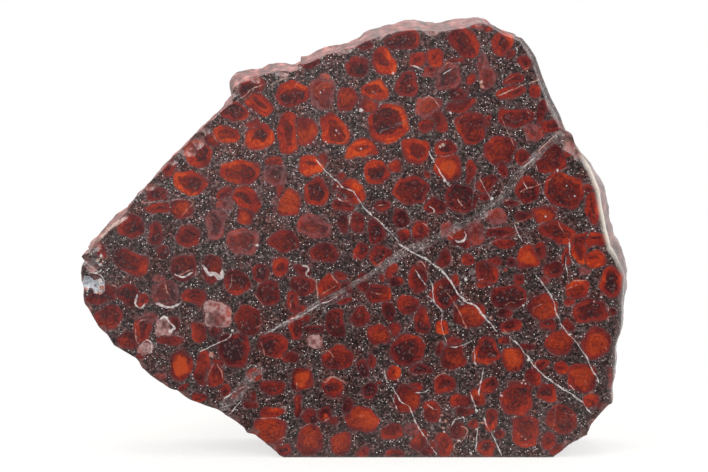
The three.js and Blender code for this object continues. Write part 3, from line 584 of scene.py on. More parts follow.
VEINS: tuple[Vein, ...] = tuple(Vein(*row) for row in (
    # The long white vein that falls from the upper left to the lower right corner.
    (0.37, WHITE, (
        (-10.8, 84.8), (-9, 82.5), (-7, 80.3), (-5, 78.7), (-3.3, 76.8), (0, 75.3), (2.3, 71.5), (4.7, 69),
        (7, 67.3), (8.5, 65.5), (10.5, 63.7), (12.7, 61.2),
    )),
    (0.48, WHITE, (
        (12, 61), (17, 58), (20, 56.5), (22, 55), (24, 53.7), (25.5, 52), (27, 50), (28, 48.2), (29, 46.7),
        (30.2, 45.3), (31.5, 44.2), (33, 43.8),
    )),
    (0.68, WHITE, (
        (31.5, 44.4), (33, 43.8), (34.2, 43), (35.2, 41.5), (36.5, 39.8), (38, 38.3), (39, 37), (40, 36),
    )),
    (0.37, WHITE, (
        (43.3, 34), (44.5, 33.5), (46, 32.2), (47, 30.5), (48.5, 29), (50.5, 26), (53.3, 23.3), (55, 22),
        (56.8, 20.8), (58.5, 19.5), (60.5, 18.5), (62, 17.2), (64, 15.8), (65.5, 13.5), (67, 12.3),
    )),
    (0.24, CREAM, ((29, 51.3), (29.5, 49.5), (29.2, 47.7))),
    (0.2, CREAM, ((47.5, 31.3), (48.7, 30.7), (49.8, 30.8))), (0.2, WHITE, ((59, 22), (61.5, 19.5))),
    (0.31, WHITE, (
        (50.2, 52.5), (51.5, 50.8), (53, 48.8), (54.5, 46.5), (55.7, 43.8), (56, 42), (57, 39.8),
        (57.7, 38), (59.5, 35.5), (61, 34), (62.5, 32.3), (63.7, 30.5), (65, 28.5), (66, 26), (67.5, 23.5),
        (68.5, 21.3),
    )),
    # Left end.
    (0.5, PINK, ((-67.5, 49.5), (-65.5, 48.6))),
    (0.5, WHITE, ((-60.2, 46.6), (-60.8, 44), (-59.4, 42.7), (-57.6, 44.3))),
    (0.45, PINK, ((-52.5, 50), (-52, 47.5), (-51, 46))),
    (0.8, WHITE, ((-55.4, 44.4), (-53, 43.2), (-50.4, 43.1), (-47.8, 44.2))),
    (0.45, PINK, ((-60.6, 37.6), (-59, 39.4), (-56.6, 39))),
    (0.45, PINK, ((-60.8, 37.5), (-60.6, 34), (-60, 32.3))),
    (0.6, WHITE, ((-50, 52.4), (-47.5, 51.6), (-44.6, 52.8))),
    (0.34, MAUVE, ((-52.5, 60.8), (-51.4, 59.8), (-51, 58))),
    (0.7, PINK, ((-59, 72.8), (-57.5, 72.4), (-55, 72.6))),
    (0.27, MAUVE, ((-57, 72.6), (-53, 72.5), (-46, 74), (-43, 74.5))),
    (0.24, PINK, ((-50, 73), (-47, 73.3), (-44.5, 72.5), (-46, 70.5), (-48.5, 67.5))),
    (0.4, PINK, ((-49, 51.8), (-46.5, 53), (-44.5, 53.5))), (0.27, PINK, ((-53.6, 74.8), (-53.4, 73))),
    (1.2, WHITE, ((-42, 54.8), (-40.6, 52.6), (-38.6, 52.2), (-37, 51.2), (-36.5, 53.6))),
    (0.2, PINK, ((-53, 38.9), (-50.4, 39.6))),
    (0.6, WHITE, ((-54, 39.4), (-52.7, 40.4), (-51.4, 38.8), (-50, 37.2), (-51.2, 36.2))),
    # The pale weathered films along the lower left bevel, round the pit and at the edge above it.
    (1.1, CREAM, ((-73.2, 59), (-71.4, 61), (-69.4, 63.2), (-67.2, 65.6), (-65.2, 66.8), (-63.4, 68.2))),
    (0.55, WHITE, ((-74.9, 56.2), (-73.3, 54.4), (-71.6, 53.6), (-70.6, 52.9), (-69.8, 53.9))),
    (0.45, PINK, ((-71.2, 54.4), (-70, 55.6), (-69.6, 57.2), (-70.6, 58.6))),
    (0.5, PINK, ((-62.4, 74), (-60.8, 75.6), (-58.6, 76), (-56.6, 77.2))),
    (0.5, WHITE, ((-61.2, 73.6), (-60, 74.8), (-58.4, 75.2))),
    (0.35, WHITE, (
        (-75.2, 52.4), (-72.6, 52.7), (-70.1, 51.8), (-69.3, 49.9), (-69.6, 47.4), (-71.8, 46.7),
    )),
    (0.45, WHITE, ((-59.6, 31.4), (-58, 33.6), (-56.4, 32.4), (-56.6, 29.6))),
    # Lower left.
    (0.36, PINK, ((-41.2, 22), (-39.8, 25.6), (-38.9, 27.2))),
    (0.36, PINK, ((-38.2, 27), (-37, 24.5), (-36.4, 21.8))),
    (0.27, WHITE, ((-37, 16.5), (-34, 18.5), (-30.8, 20.3))), (0.24, WHITE, ((-37.5, 14.2), (-34, 15.5))),
    (0.27, WHITE, ((-35.5, 12), (-33, 14.6), (-30.6, 17.6))),
    (0.31, WHITE, ((-43.2, 30.3), (-38, 32.7), (-35, 34.2), (-33.8, 36.3))),
    (0.2, CREAM, ((-30.7, 39.5), (-31.5, 36.5))), (0.2, CREAM, ((-25, 38.2), (-28, 37))),
    (0.31, WHITE, ((-29.3, 26.3), (-28, 26.6), (-27, 26))),
    (0.31, PINK, ((-27, 11.3), (-22, 11.5), (-19.2, 10.8))),
    (0.24, PINK, ((-23.5, 3.9), (-20, 5.7), (-16, 8.2), (-12, 10))),
    (0.34, WHITE, ((-8.6, 10.3), (-6.5, 11.5))), (0.2, CREAM, ((1, 8), (0.2, 6), (0, 3), (0.3, 1))),
    (0.27, PINK, ((1, 12), (3.5, 12))), (0.2, CREAM, ((-16, 21.5), (-15.7, 19.5))),
    (0.2, CREAM, ((-12.5, 25), (-11.5, 25.8))),
    (0.5, PINK, ((-9, 22.5), (-8, 21.5), (-6.5, 23), (-4.5, 22.7), (-2.5, 21.5), (-2.3, 20.5))),
    # Middle left.
    (0.24, CREAM, ((-33.8, 52.3), (-34.3, 49), (-35.5, 47.5))), (0.27, WHITE, ((-26.5, 54), (-25.6, 52.3))),
    (0.24, PINK, ((-28, 47), (-26, 44.5), (-24.8, 43))),
    (0.5, WHITE, ((-14.8, 55), (-12.6, 53.9), (-13.3, 52.2), (-12.2, 51.4))),
    (0.42, PINK, ((-12.2, 51.4), (-10.6, 50.2), (-10.2, 47.5), (-10.2, 44.5))),
    (0.34, CREAM, ((-6.5, 52.7), (-4.5, 49.5))), (0.3, CREAM, ((-4.5, 49.5), (-9.8, 46))),
    (0.24, PINK, ((-17.7, 45), (-17.7, 42))), (0.24, PINK, ((-26, 33.3), (-25.3, 31), (-24.8, 28.5))),
    (0.5, PINK, ((-13.5, 33.3), (-12, 34), (-10.5, 34.4))), (0.5, PINK, ((-12, 32.5), (-10, 31.2))),
    (0.4, PINK, ((-9.2, 34.5), (-8.8, 32.8))),
    (0.31, WHITE, ((-25, 35.2), (-18.5, 39), (-14, 41), (-10, 43.5), (-6.2, 45), (-4, 46.3))),
    (0.41, MAUVE, ((-14, 37.2), (-12.5, 38), (-10, 39.3), (-8.8, 41), (-7.9, 43), (-7.2, 44))),
    (0.24, WHITE, ((-28.2, 60.7), (-27, 60.6), (-26.2, 60))), (0.27, CREAM, ((-3.5, 59), (-3.2, 57.5))),
    (0.61, SLATE, ((-48, 76), (-25, 83), (-8, 88), (14, 95), (24, 99), (38, 104))),
    (0.24, WHITE, ((-26.3, 83.8), (-25, 83.2))),
    # Upper left.
    (0.24, PINK, ((-38.8, 91.5), (-38, 90), (-37, 89))),
    (0.31, CREAM, ((-30, 102), (-28, 104), (-24.8, 105.2))), (0.27, CREAM, ((-28.6, 102), (-27.2, 104.6))),
    (0.31, CREAM, ((-33, 100.1), (-31, 101.5), (-29.5, 102.3))),
    (0.31, PINK, ((-16.5, 104), (-15.5, 105.8), (-13.7, 106.5))),
    (0.31, CREAM, ((-23, 105), (-20.5, 106.3), (-15, 107.6))),
    (0.31, WHITE, ((4.7, 103.6), (5.6, 102.9), (6.8, 102))),
    (0.27, MAUVE, ((6.5, 92), (10, 93.2), (14, 94.5))), (0.54, MAUVE, ((11, 94.2), (14.8, 95.2))),
    (0.41, SLATE, ((-10, 86.8), (-3, 88.8), (0, 89.8), (5, 91))),
    (0.48, PINK, ((19, 101.5), (21, 101.8), (22.5, 100.5), (23.7, 98.5))),
    (0.27, WHITE, ((15, 110.7), (17.5, 110), (19, 109))), (0.27, WHITE, ((24.5, 108), (27.2, 110))),
    # Middle.
    (0.31, WHITE, ((-4.8, 73.9), (-3.5, 72.8), (-1.5, 72.8))), (0.2, CREAM, ((-1.2, 69.5), (-1.3, 65))),
    (0.27, CREAM, ((6, 71.5), (8.5, 71.8))), (0.27, CREAM, ((18.5, 67), (20.3, 65.5), (20.5, 62))),
    (0.31, WHITE, ((20.8, 71.5), (22.3, 70), (20.5, 69))),
    (0.27, CREAM, ((-0.3, 58.5), (0.8, 57), (2.5, 55.8))),
    (0.2, CREAM, ((20.3, 76), (19.5, 73), (18.5, 69.5))), (0.31, PINK, ((5, 47.3), (7, 46.7), (8, 46.8))),
    (0.27, WHITE, ((17, 53.5), (18.5, 51), (20, 49))),
    (0.27, CREAM, ((17.3, 55.5), (19, 55.7), (20, 53.5), (21.3, 51.8))),
    (0.42, PINK, ((-9.3, 30.2), (-8, 30.7), (-6.7, 30.3), (-5.5, 28.5))),
    # Low down, right of the middle.
    (0.27, WHITE, ((17, 18.7), (19.5, 18.8), (21.3, 20.3))),
    (0.24, CREAM, ((22.4, 22.4), (24, 24), (26, 24.2))),
    (0.31, CREAM, ((19.5, 16.3), (22, 14), (23.3, 14))),
    (0.4, WHITE, ((27, 8.8), (27.6, 10), (28.4, 11), (29.8, 11.3), (30.5, 11.8), (31.3, 10.8))),
    (0.4, PINK, (
        (29.8, 9.3), (31.8, 8.2), (31.3, 6.5), (30.4, 5.2), (29.2, 4.7), (28.2, 3.6), (27.8, 1.6),
    )),
    (0.35, WHITE, ((31.7, 7.3), (31.5, 4.1))), (0.6, WHITE, ((28.8, 4.8), (30, 5.2))),
    (0.3, WHITE, ((31.9, 4.2), (33.4, 3.9))), (0.35, PINK, ((32.4, 11.4), (32.2, 9.8))),
    (0.5, WHITE, ((33.7, 7.8), (35, 8.8))),
    (0.27, WHITE, (
        (8.7, 26), (8.5, 24.5), (9.3, 22), (10, 20.5), (11, 19.8), (12, 18), (13.5, 15.8), (15.2, 14.8),
        (16, 13.3), (17.3, 10), (18.5, 8), (20, 5.8), (21.5, 3.5), (23.4, 0),
    )),
    (0.2, WHITE, ((10.3, 18), (12.5, 13))), (0.24, WHITE, ((33.8, 30), (33.7, 27.5), (34.8, 26))),
    (0.31, WHITE, ((36.3, 26.3), (35.7, 23), (35, 19.5), (34.9, 17.5))),
    (0.31, WHITE, ((32.3, 19), (33.8, 15), (34.2, 13.7), (34, 12.3))),
    (0.27, WHITE, ((36.3, 12.2), (36.8, 10), (39.3, 5.5), (41, 1.5), (41.5, 0))),
    (0.27, WHITE, ((35, 9.8), (34.5, 7), (34, 1.5))), (0.5, PINK, ((34.5, 10), (36.9, 10))),
    # Right of the middle.
    (0.24, PINK, ((23.5, 49), (25.2, 47.6), (27, 46))), (0.24, CREAM, ((29.6, 51.5), (29.6, 49))),
    (0.27, WHITE, ((34.5, 50.7), (36.5, 51))), (0.31, PINK, ((41.5, 36.8), (42.8, 35.8), (44.5, 35.7))),
    (0.2, CREAM, ((42, 57), (44.5, 57), (45.4, 55.6))),
    (0.24, PINK, ((23.7, 49.5), (26, 47), (28, 44), (29.5, 41), (30.5, 38.8), (31.5, 36.5))),
    (0.2, PINK, ((33.2, 43.2), (32.9, 40.4))), (0.2, CREAM, ((25.5, 45.5), (26.8, 43.5))),
    (0.31, WHITE, ((21, 51), (21.7, 49), (22, 46), (22.7, 43.8))),
    (0.27, WHITE, (
        (20, 46.3), (21.7, 45.2), (22.7, 43.8), (24.2, 42.2), (24.5, 41), (24.3, 38), (24.7, 36),
        (25.3, 34.5), (26, 32),
    )),
    (0.27, WHITE, ((26.5, 31.7), (29, 31.8), (31, 32.5), (33, 33.5))),
    (0.2, WHITE, ((33.3, 32), (33.7, 30), (33.8, 28))),
    (0.24, CREAM, ((48.7, 41.7), (50.5, 43), (52.5, 43.9))),
    (0.2, CREAM, ((41.5, 43.2), (43.2, 44.2), (45, 44.2))), (0.2, CREAM, ((46, 45), (48.3, 45.6))),
    (0.27, WHITE, ((34.8, 79), (36, 76.5), (37.5, 74), (38.2, 73.5))),
    (0.31, MAUVE, ((33.5, 81.5), (33.3, 77), (33, 74.5), (32.7, 72), (32.3, 70))),
    (0.34, MAUVE, ((42, 71.5), (43.5, 69), (45.2, 66), (47, 64), (48.5, 61.5), (49.3, 60))),
    (0.34, WHITE, ((44.3, 66.5), (45, 64.3), (46, 62.7), (46.8, 61.3))),
    (0.24, PINK, ((36, 65), (39.5, 65.3), (44, 66.5), (48, 67.6))),
    (0.31, MAUVE, ((30, 58.5), (35, 60.3), (40, 62), (44, 64), (47.5, 65.3), (53, 67))),
    (0.24, WHITE, ((50.3, 83), (50.6, 81.3))),
    (0.24, MAUVE, ((50.7, 80), (51.5, 78), (52, 76), (53.2, 73.8), (54.7, 71), (56.5, 69))),
    (0.34, WHITE, ((59.5, 62.5), (59.7, 61), (59.8, 58.5), (60.2, 57), (60.8, 55))),
    (0.24, WHITE, ((58.7, 58), (58.8, 55), (59.2, 52.5), (59.5, 49.5))),
    (0.27, MAUVE, ((26.5, 59.5), (27, 57.5), (26.8, 55.5), (26, 53.3))),
    (0.34, MAUVE, ((26, 70.3), (29, 67.8))), (0.68, SLATE, ((21, 74.5), (25, 78), (30, 80))),
    (0.27, CREAM, ((50.5, 86.5), (52, 88), (55, 90.8), (57.5, 92.5))),
    (0.34, WHITE, ((20.5, 87), (22, 84), (24.8, 79.2), (26.7, 76.5))),
    (0.24, CREAM, ((26, 63.5), (27.5, 62.3))), (0.24, CREAM, ((28.5, 73.3), (30.3, 71.3))),
    (0.2, CREAM, ((25.5, 71.3), (26.8, 70.7))),
    (0.55, WHITE, ((27.8, 62), (29, 61.2), (30.3, 61.7), (31, 63.2), (30.5, 64.3))),
    (0.24, WHITE, ((46.5, 78.7), (48, 76))), (0.24, PINK, ((45.5, 75), (47, 76), (51, 77.3), (55.5, 79.5))),
    (0.24, PINK, ((41, 72.2), (44, 74))), (0.41, WHITE, ((46, 81), (48, 83.3), (50, 85))),
    (0.24, MAUVE, ((26, 64.8), (33, 68.4), (36.5, 70.9), (39.5, 73.2))),
    # Upper right.
    (0.31, WHITE, ((44.3, 115.6), (44.8, 114.6), (44.2, 113.4))),
    (0.34, PINK, ((23.6, 85.6), (25, 85.2), (26.6, 85.6))),
    (0.31, CREAM, ((39, 102), (43, 103.5), (46, 104.8), (51.5, 106.8))),
    (0.27, PINK, ((41.5, 106), (44, 107.5))), (0.27, PINK, ((45.8, 108.7), (49, 110.7))),
    (0.27, PINK, ((40.2, 96.5), (41.5, 94), (43, 90.5), (44.3, 87.8))),
    (0.68, SLATE, ((24, 97.5), (28, 99.3), (33, 101.5), (38, 103.3))),
    (0.2, CREAM, ((47.5, 97.8), (49, 96.6))), (0.24, PINK, ((24, 109.5), (26, 111.2), (29, 110.6))),
    (0.24, PINK, ((27.6, 90), (28.2, 94), (30.4, 97))),
    # Right end and lower right.
    (0.24, CREAM, ((59.5, 50), (62, 50.5), (65.5, 50.5))),
    (0.2, CREAM, ((58, 47.5), (60, 48.5), (63, 49.5), (65, 49.3))),
    (0.35, CREAM, ((70.8, 43.5), (70.8, 41.4))), (0.35, CREAM, ((70.7, 40.4), (70.7, 38.6))),
    (0.35, CREAM, ((70.6, 37.6), (70.5, 36))), (0.35, PINK, ((70.3, 34.5), (70.2, 32.8))),
    (0.35, PINK, ((70.2, 31.9), (70.2, 30.5))), (0.2, PINK, ((71, 40.3), (72.5, 40.5))),
    (0.2, PINK, ((65.2, 38.2), (66.5, 37.5))), (0.27, MAUVE, ((57, 69), (61, 70), (63.5, 70.3))),
    (0.24, PINK, ((56, 68), (57.5, 65), (58.5, 63.5))), (0.2, PINK, ((64.5, 24), (64.5, 20))),
    (0.24, PINK, ((58.5, 13.2), (60, 12.5), (62, 12.5))), (0.24, CREAM, ((53.3, 14.3), (55, 15.3))),
    (0.24, MAUVE, ((57.2, 20), (56.5, 15.5), (56.2, 12), (56, 10), (55.2, 7))),
    (0.34, PINK, ((45.5, 4.4), (47, 3.7), (48.8, 4.2))), (0.34, WHITE, ((50.2, 2.3), (51.5, 2.7))),
    (0.34, PINK, ((57.6, 89.8), (60, 88), (63, 84.6))),
    (0.27, CREAM, ((51.1, 25), (50.6, 26.8), (51.4, 28.4))),
))

GRAINS: tuple[Grain, ...] = tuple(Grain(*row) for row in (
    (2, 98.1, 0.72, WHITE), (0.5, 98.1, 0.35, WHITE), (-6, 98.3, 0.35, PINK), (-10, 90.7, 0.3, WHITE),
    (-11.2, 89.3, 0.3, WHITE), (-7.8, 89.4, 0.35, WHITE), (-7.3, 88.6, 0.3, WHITE),
    (-8.4, 88.3, 0.3, CREAM), (0.4, 91.3, 0.3, WHITE), (10.7, 108.3, 0.45, WHITE),
    (11.2, 106.8, 0.35, CREAM), (9, 106, 0.3, WHITE), (-4.9, 92.5, 0.4, WHITE), (-4.1, 91.7, 0.35, WHITE),
    (-5.2, 91.1, 0.3, CREAM), (1.9, 87.4, 0.4, WHITE), (-4.6, 76.9, 0.35, WHITE), (1.5, 31.7, 0.4, WHITE),
    (2.5, 31, 0.35, WHITE), (-18, 8.7, 0.35, WHITE), (-9.8, 9, 0.3, WHITE), (-5.3, 13.3, 0.35, WHITE),
    (-24.3, 16.8, 0.35, WHITE), (-22, 15.5, 0.3, WHITE), (-4.3, 24.5, 0.3, WHITE), (33, 1.2, 0.6, WHITE),
    (41.3, 17.8, 0.5, WHITE), (34.2, 13.6, 0.55, WHITE), (31, 50.8, 0.65, WHITE), (32.8, 53, 1.1, MAUVE),
    (33, 51, 0.7, MAUVE), (30.3, 35.2, 0.35, WHITE), (37.5, 48.7, 0.35, WHITE), (50.4, 51, 0.35, WHITE),
    (47.1, 43.5, 0.5, WHITE), (36.7, 44, 0.45, WHITE), (38, 40, 0.5, PINK), (25, 78.5, 0.55, WHITE),
    (38.2, 73.5, 0.6, WHITE), (48, 76.5, 0.3, CREAM), (34.9, 105.8, 0.7, CREAM), (35.3, 104.6, 0.7, PINK),
    (26.4, 97.4, 0.45, WHITE), (24.6, 88.5, 0.7, CREAM), (23.7, 88, 0.6, CREAM), (48.7, 28.1, 0.7, WHITE),
    (47.3, 22.2, 0.35, WHITE), (46.8, 21.4, 0.35, WHITE), (47.9, 21.3, 0.35, WHITE),
    (49.6, 11.6, 0.35, WHITE), (47, 6.2, 0.4, PINK), (46, 7, 0.3, PINK), (48, 5.4, 0.35, WHITE),
    (58, 51.5, 0.4, WHITE), (64.8, 51.3, 0.4, WHITE), (65.3, 52.1, 0.3, CREAM), (68.7, 45.8, 0.35, WHITE),
    (63.8, 38.2, 0.3, WHITE), (63.2, 34.7, 0.4, WHITE), (60, 35.3, 0.5, WHITE), (66.7, 44.5, 0.35, WHITE),
    (58.7, 77.1, 0.35, WHITE), (61, 74.2, 0.35, WHITE), (53, 68.5, 0.45, WHITE), (62.8, 70.2, 0.5, MAUVE),
    (56.1, 81.4, 0.5, WHITE), (51.3, 86.4, 0.35, PINK), (62, 66, 0.3, WHITE), (64.2, 66, 0.3, WHITE),
    (66, 65, 0.35, WHITE), (-51, 36.2, 0.7, WHITE), (-39.8, 29.6, 0.9, PINK), (-33.8, 36.3, 0.5, WHITE),
    (-33, 93.3, 0.35, WHITE), (-22, 89, 0.35, WHITE), (-16.5, 80.3, 0.35, WHITE),
    (-28.3, 98.3, 0.35, WHITE), (-26.9, 60.5, 0.6, WHITE), (-22.8, 40.5, 0.35, CREAM),
    (-21.6, 39.6, 0.3, CREAM), (-22.2, 41.3, 0.3, CREAM), (-21.8, 79.6, 0.35, CREAM),
    # Pale granules beside the cracks low down, right of the middle.
    (24.6, 12.2, 0.5, PINK), (25.6, 10.6, 0.6, PINK), (24, 10.8, 0.4, WHITE), (26.2, 9, 0.5, MAUVE),
    (24.8, 8.6, 0.45, PINK), (23.6, 9.6, 0.4, MAUVE), (25.2, 7.5, 0.4, WHITE),
    # The crystals of the pit at the left end.
    (-73.6, 49.6, 2.6, ICE), (-71.4, 49, 2.3, ICE), (-72.8, 55.2, 1.9, MAUVE), (-70.1, 57.4, 0.55, WHITE),
    (-69.5, 56, 0.45, CREAM), (-71.6, 52.6, 0.5, WHITE), (-72.6, 51, 0.7, WHITE), (-74.4, 48.2, 0.8, PINK),
    (-70.6, 50.4, 0.9, WHITE), (-69.9, 48.6, 0.7, PINK), (-73.2, 47.6, 0.7, SLATE),
    (-71.6, 47.4, 0.7, WHITE), (-71.9, 49.1, 0.8, SLATE), (-74, 51.6, 0.7, WHITE), (-75, 50, 0.7, WHITE),
    (-73.4, 49.3, 0.5, WHITE), (-71.3, 51.6, 0.6, SLATE), (-70.6, 46.9, 0.6, PINK),
    (-73.9, 50.3, 0.7, SLATE), (-71.9, 54.2, 0.8, SLATE), (-73.4, 56.2, 0.7, SLATE),
    (-71, 56.2, 0.6, CREAM), (-70.4, 55, 0.6, WHITE), (-73.4, 54.2, 0.5, WHITE),
    # The upper middle.
    (-9.2, 102.9, 0.3, WHITE), (-8.3, 103.7, 0.25, WHITE), (15.2, 104.8, 0.3, CREAM),
    (7.9, 87.5, 0.3, PINK), (8.6, 87.4, 0.3, PINK), (8.6, 85.4, 0.35, CREAM), (15, 90.4, 0.3, WHITE),
    (-12.6, 88.6, 0.3, WHITE),
))


FAR = 9.0                  # mm, stands for a distance that is too great to matter


class ColumnShape:
    """The cross-section of one column and of its core."""

    SQUARENESS = 2.3       # 2 is a plain ellipse
    SMALLEST_CORE = 0.35   # mm
    REACH = 2.5            # mm outside the column that are still measured
    TONE_SPREAD = 0.06     # random change of the whole column's tone
    CORE_SPREAD = 0.13     # further random change of the core's tone
    WIDTH_SPREAD = 0.25    # random change of the ring's width, as a share
    BEND_MIDDLE = 0.4      # share of its length by which a bent column's middle bulges the other way
    TAPERED = (0.35, 1.6)  # least and most width of a tapered column, as shares

    def __init__(self, column: Column, draws: Array) -> None:
        """Works out the shape's numbers.

        Args:
            column: The column.
            draws: Random numbers, -1 to 1, for its tone, its brighter side, its core and its ring's width.
        """
        look = column.style.value
        tone = column.tone + self.TONE_SPREAD * draws[0]
        core_tone = look.core + 0.5 * tone + self.CORE_SPREAD * draws[2]
        side = math.pi * draws[1]
        turn = math.radians(column.tilt)
        width = look.width * (1 + self.WIDTH_SPREAD * draws[3])
        self.column = column
        self.tones = (look.ring + tone, core_tone, look.dust)
        self.laminae = look.laminae
        self.side = (math.cos(side), math.sin(side))
        self.axis = (math.cos(turn), math.sin(turn))
        self.core_size = [max(half - width, self.SMALLEST_CORE) for half in (column.a, column.b)]
        self.longest = max(column.a, column.b)
        self.reach = self.longest + self.REACH

    def _distance(self, x: Array, z: Array, a: float, b: float) -> tuple[Array, Array]:
        """Measures how far points are outside an oval of this column's bend and taper.

        Args:
            x: X from the oval's middle, in mm.
            z: Z from the oval's middle, in mm.
            a: Half of its length, in mm.
            b: Half of its width, in mm.

        Returns:
            Distance from its outline, negative inside, and the place across it, both in mm.
        """
        u = x * self.axis[0] + z * self.axis[1]
        v = z * self.axis[0] - x * self.axis[1]
        v = v - self.column.bend * (u * u / a - self.BEND_MIDDLE * a)
        width = b * np.clip(1 - self.column.taper * u / a, *self.TAPERED)
        power = self.SQUARENESS
        rho = ((np.abs(u) / a) ** power + (np.abs(v) / width) ** power) ** (1 / power)
        slope = np.sqrt((u / a ** 2) ** 2 + (v / width ** 2) ** 2)
        distance = (rho - 1) * rho / np.maximum(slope, 1e-6)
        return np.maximum(distance, -min(a, b)), v

    def outline(self, x: Array, z: Array) -> tuple[Array, Array]:
        """Measures the distance outside the column, and the place across it, in mm."""
        return self._distance(x - self.column.x, z - self.column.z, self.column.a, self.column.b)

    def core(self, x: Array, z: Array) -> Array:
        """Measures the distance outside the core, in mm."""
        middle_x, middle_z = self.column.x + self.column.core[0], self.column.z + self.column.core[1]
        return self._distance(x - middle_x, z - middle_z, *self.core_size)[0]

    def shade(self, x: Array, z: Array) -> Array:
        """Tells how far points lie towards the column's brighter side, about -1 to 1 within it."""
        return ((x - self.column.x) * self.side[0] + (z - self.column.z) * self.side[1]) / self.longest


class VeinCourse:
    """The smooth course of one vein."""

    STEP = 0.4             # mm between samples
    TAPER = 1.6            # mm over which an end thins out
    MARGIN = 1.2           # mm beyond the vein that is still measured
    SWELL = 0.4            # random swelling, as a share of the width
    HEM = 0.25             # mm beside the vein before its width counts as less and less
    HEM_FALL = 4           # mm of width that are taken away for each mm further out

    def __init__(self, vein: Vein) -> None:
        """Lays samples along a curve through the vein's points.

        Args:
            vein: The vein.
        """
        self.vein = vein
        corners = np.array(vein.points, dtype=float)
        before = np.vstack((2 * corners[0] - corners[1], corners, 2 * corners[-1] - corners[-2]))
        samples = []
        for i in range(len(corners) - 1):
            p0, p1, p2, p3 = before[i:i + 4]
            count = max(2, round(np.linalg.norm(p2 - p1) / self.STEP))
            t = np.arange(count)[:, None] / count
            quadratic = (2 * p0 - 5 * p1 + 4 * p2 - p3) * t ** 2
            cubic = (3 * p1 - p0 - 3 * p2 + p3) * t ** 3
            samples.append(0.5 * (2 * p1 + (p2 - p0) * t + quadratic + cubic))
        self.samples = np.vstack((*samples, corners[-1:]))
        tangents = np.gradient(self.samples, axis=0)
        self.tangents = tangents / np.linalg.norm(tangents, axis=1, keepdims=True)
        steps = np.linalg.norm(np.diff(self.samples, axis=0), axis=1)
        self.arc = np.concatenate(([0], np.cumsum(steps)))

    def gap(self, other: "VeinCourse") -> float:
        """Measures the clear space to another vein.

        Args:
            other: The other vein.

        Returns:
            The least distance between them less half of each width, in mm.
        """
        apart = self.samples[:, None, :] - other.samples[None, :, :]
        nearest = np.sqrt((apart ** 2).sum(axis=2).min())
        return float(nearest - (self.vein.width + other.vein.width) / 2)

    def measure(self, places: Array, swell: Array) -> tuple[Array, Array, Array]:
        """Measures points from the vein.

        Args:
            places: X and Z of all the points, in mm.
            swell: Random swelling of veins at each point, about -1 to 1.

        Returns:
            Which points are near; their signed distance from the middle of the vein; and half of the vein's
            width there, below 0 where the vein has ended. In mm.
        """
        margin = self.MARGIN + self.vein.width
        low, high = self.samples.min(axis=0) - margin, self.samples.max(axis=0) + margin
        near = np.flatnonzero(((places > low) & (places < high)).all(axis=1))
        apart = ((places[near, None, :] - self.samples[None, :, :]) ** 2).sum(axis=2)
        nearest = apart.argmin(axis=1)
        offset = places[near] - self.samples[nearest]
        tangent = self.tangents[nearest]
        across = tangent[:, 0] * offset[:, 1] - tangent[:, 1] * offset[:, 0]
        along = self.arc[nearest] + (tangent * offset).sum(axis=1)
        left = np.minimum(along, self.arc[-1] - along)
        thinned = np.sqrt(np.clip(left / self.TAPER, 0.0, 1))
        half = self.vein.width / 2 * thinned * (1 + self.SWELL * swell[near])
        half = np.where(left < 0, left, half)
        away = np.maximum(np.abs(across) - self.vein.width / 2 - self.HEM, 0)
        return near, across, half - self.HEM_FALL * away


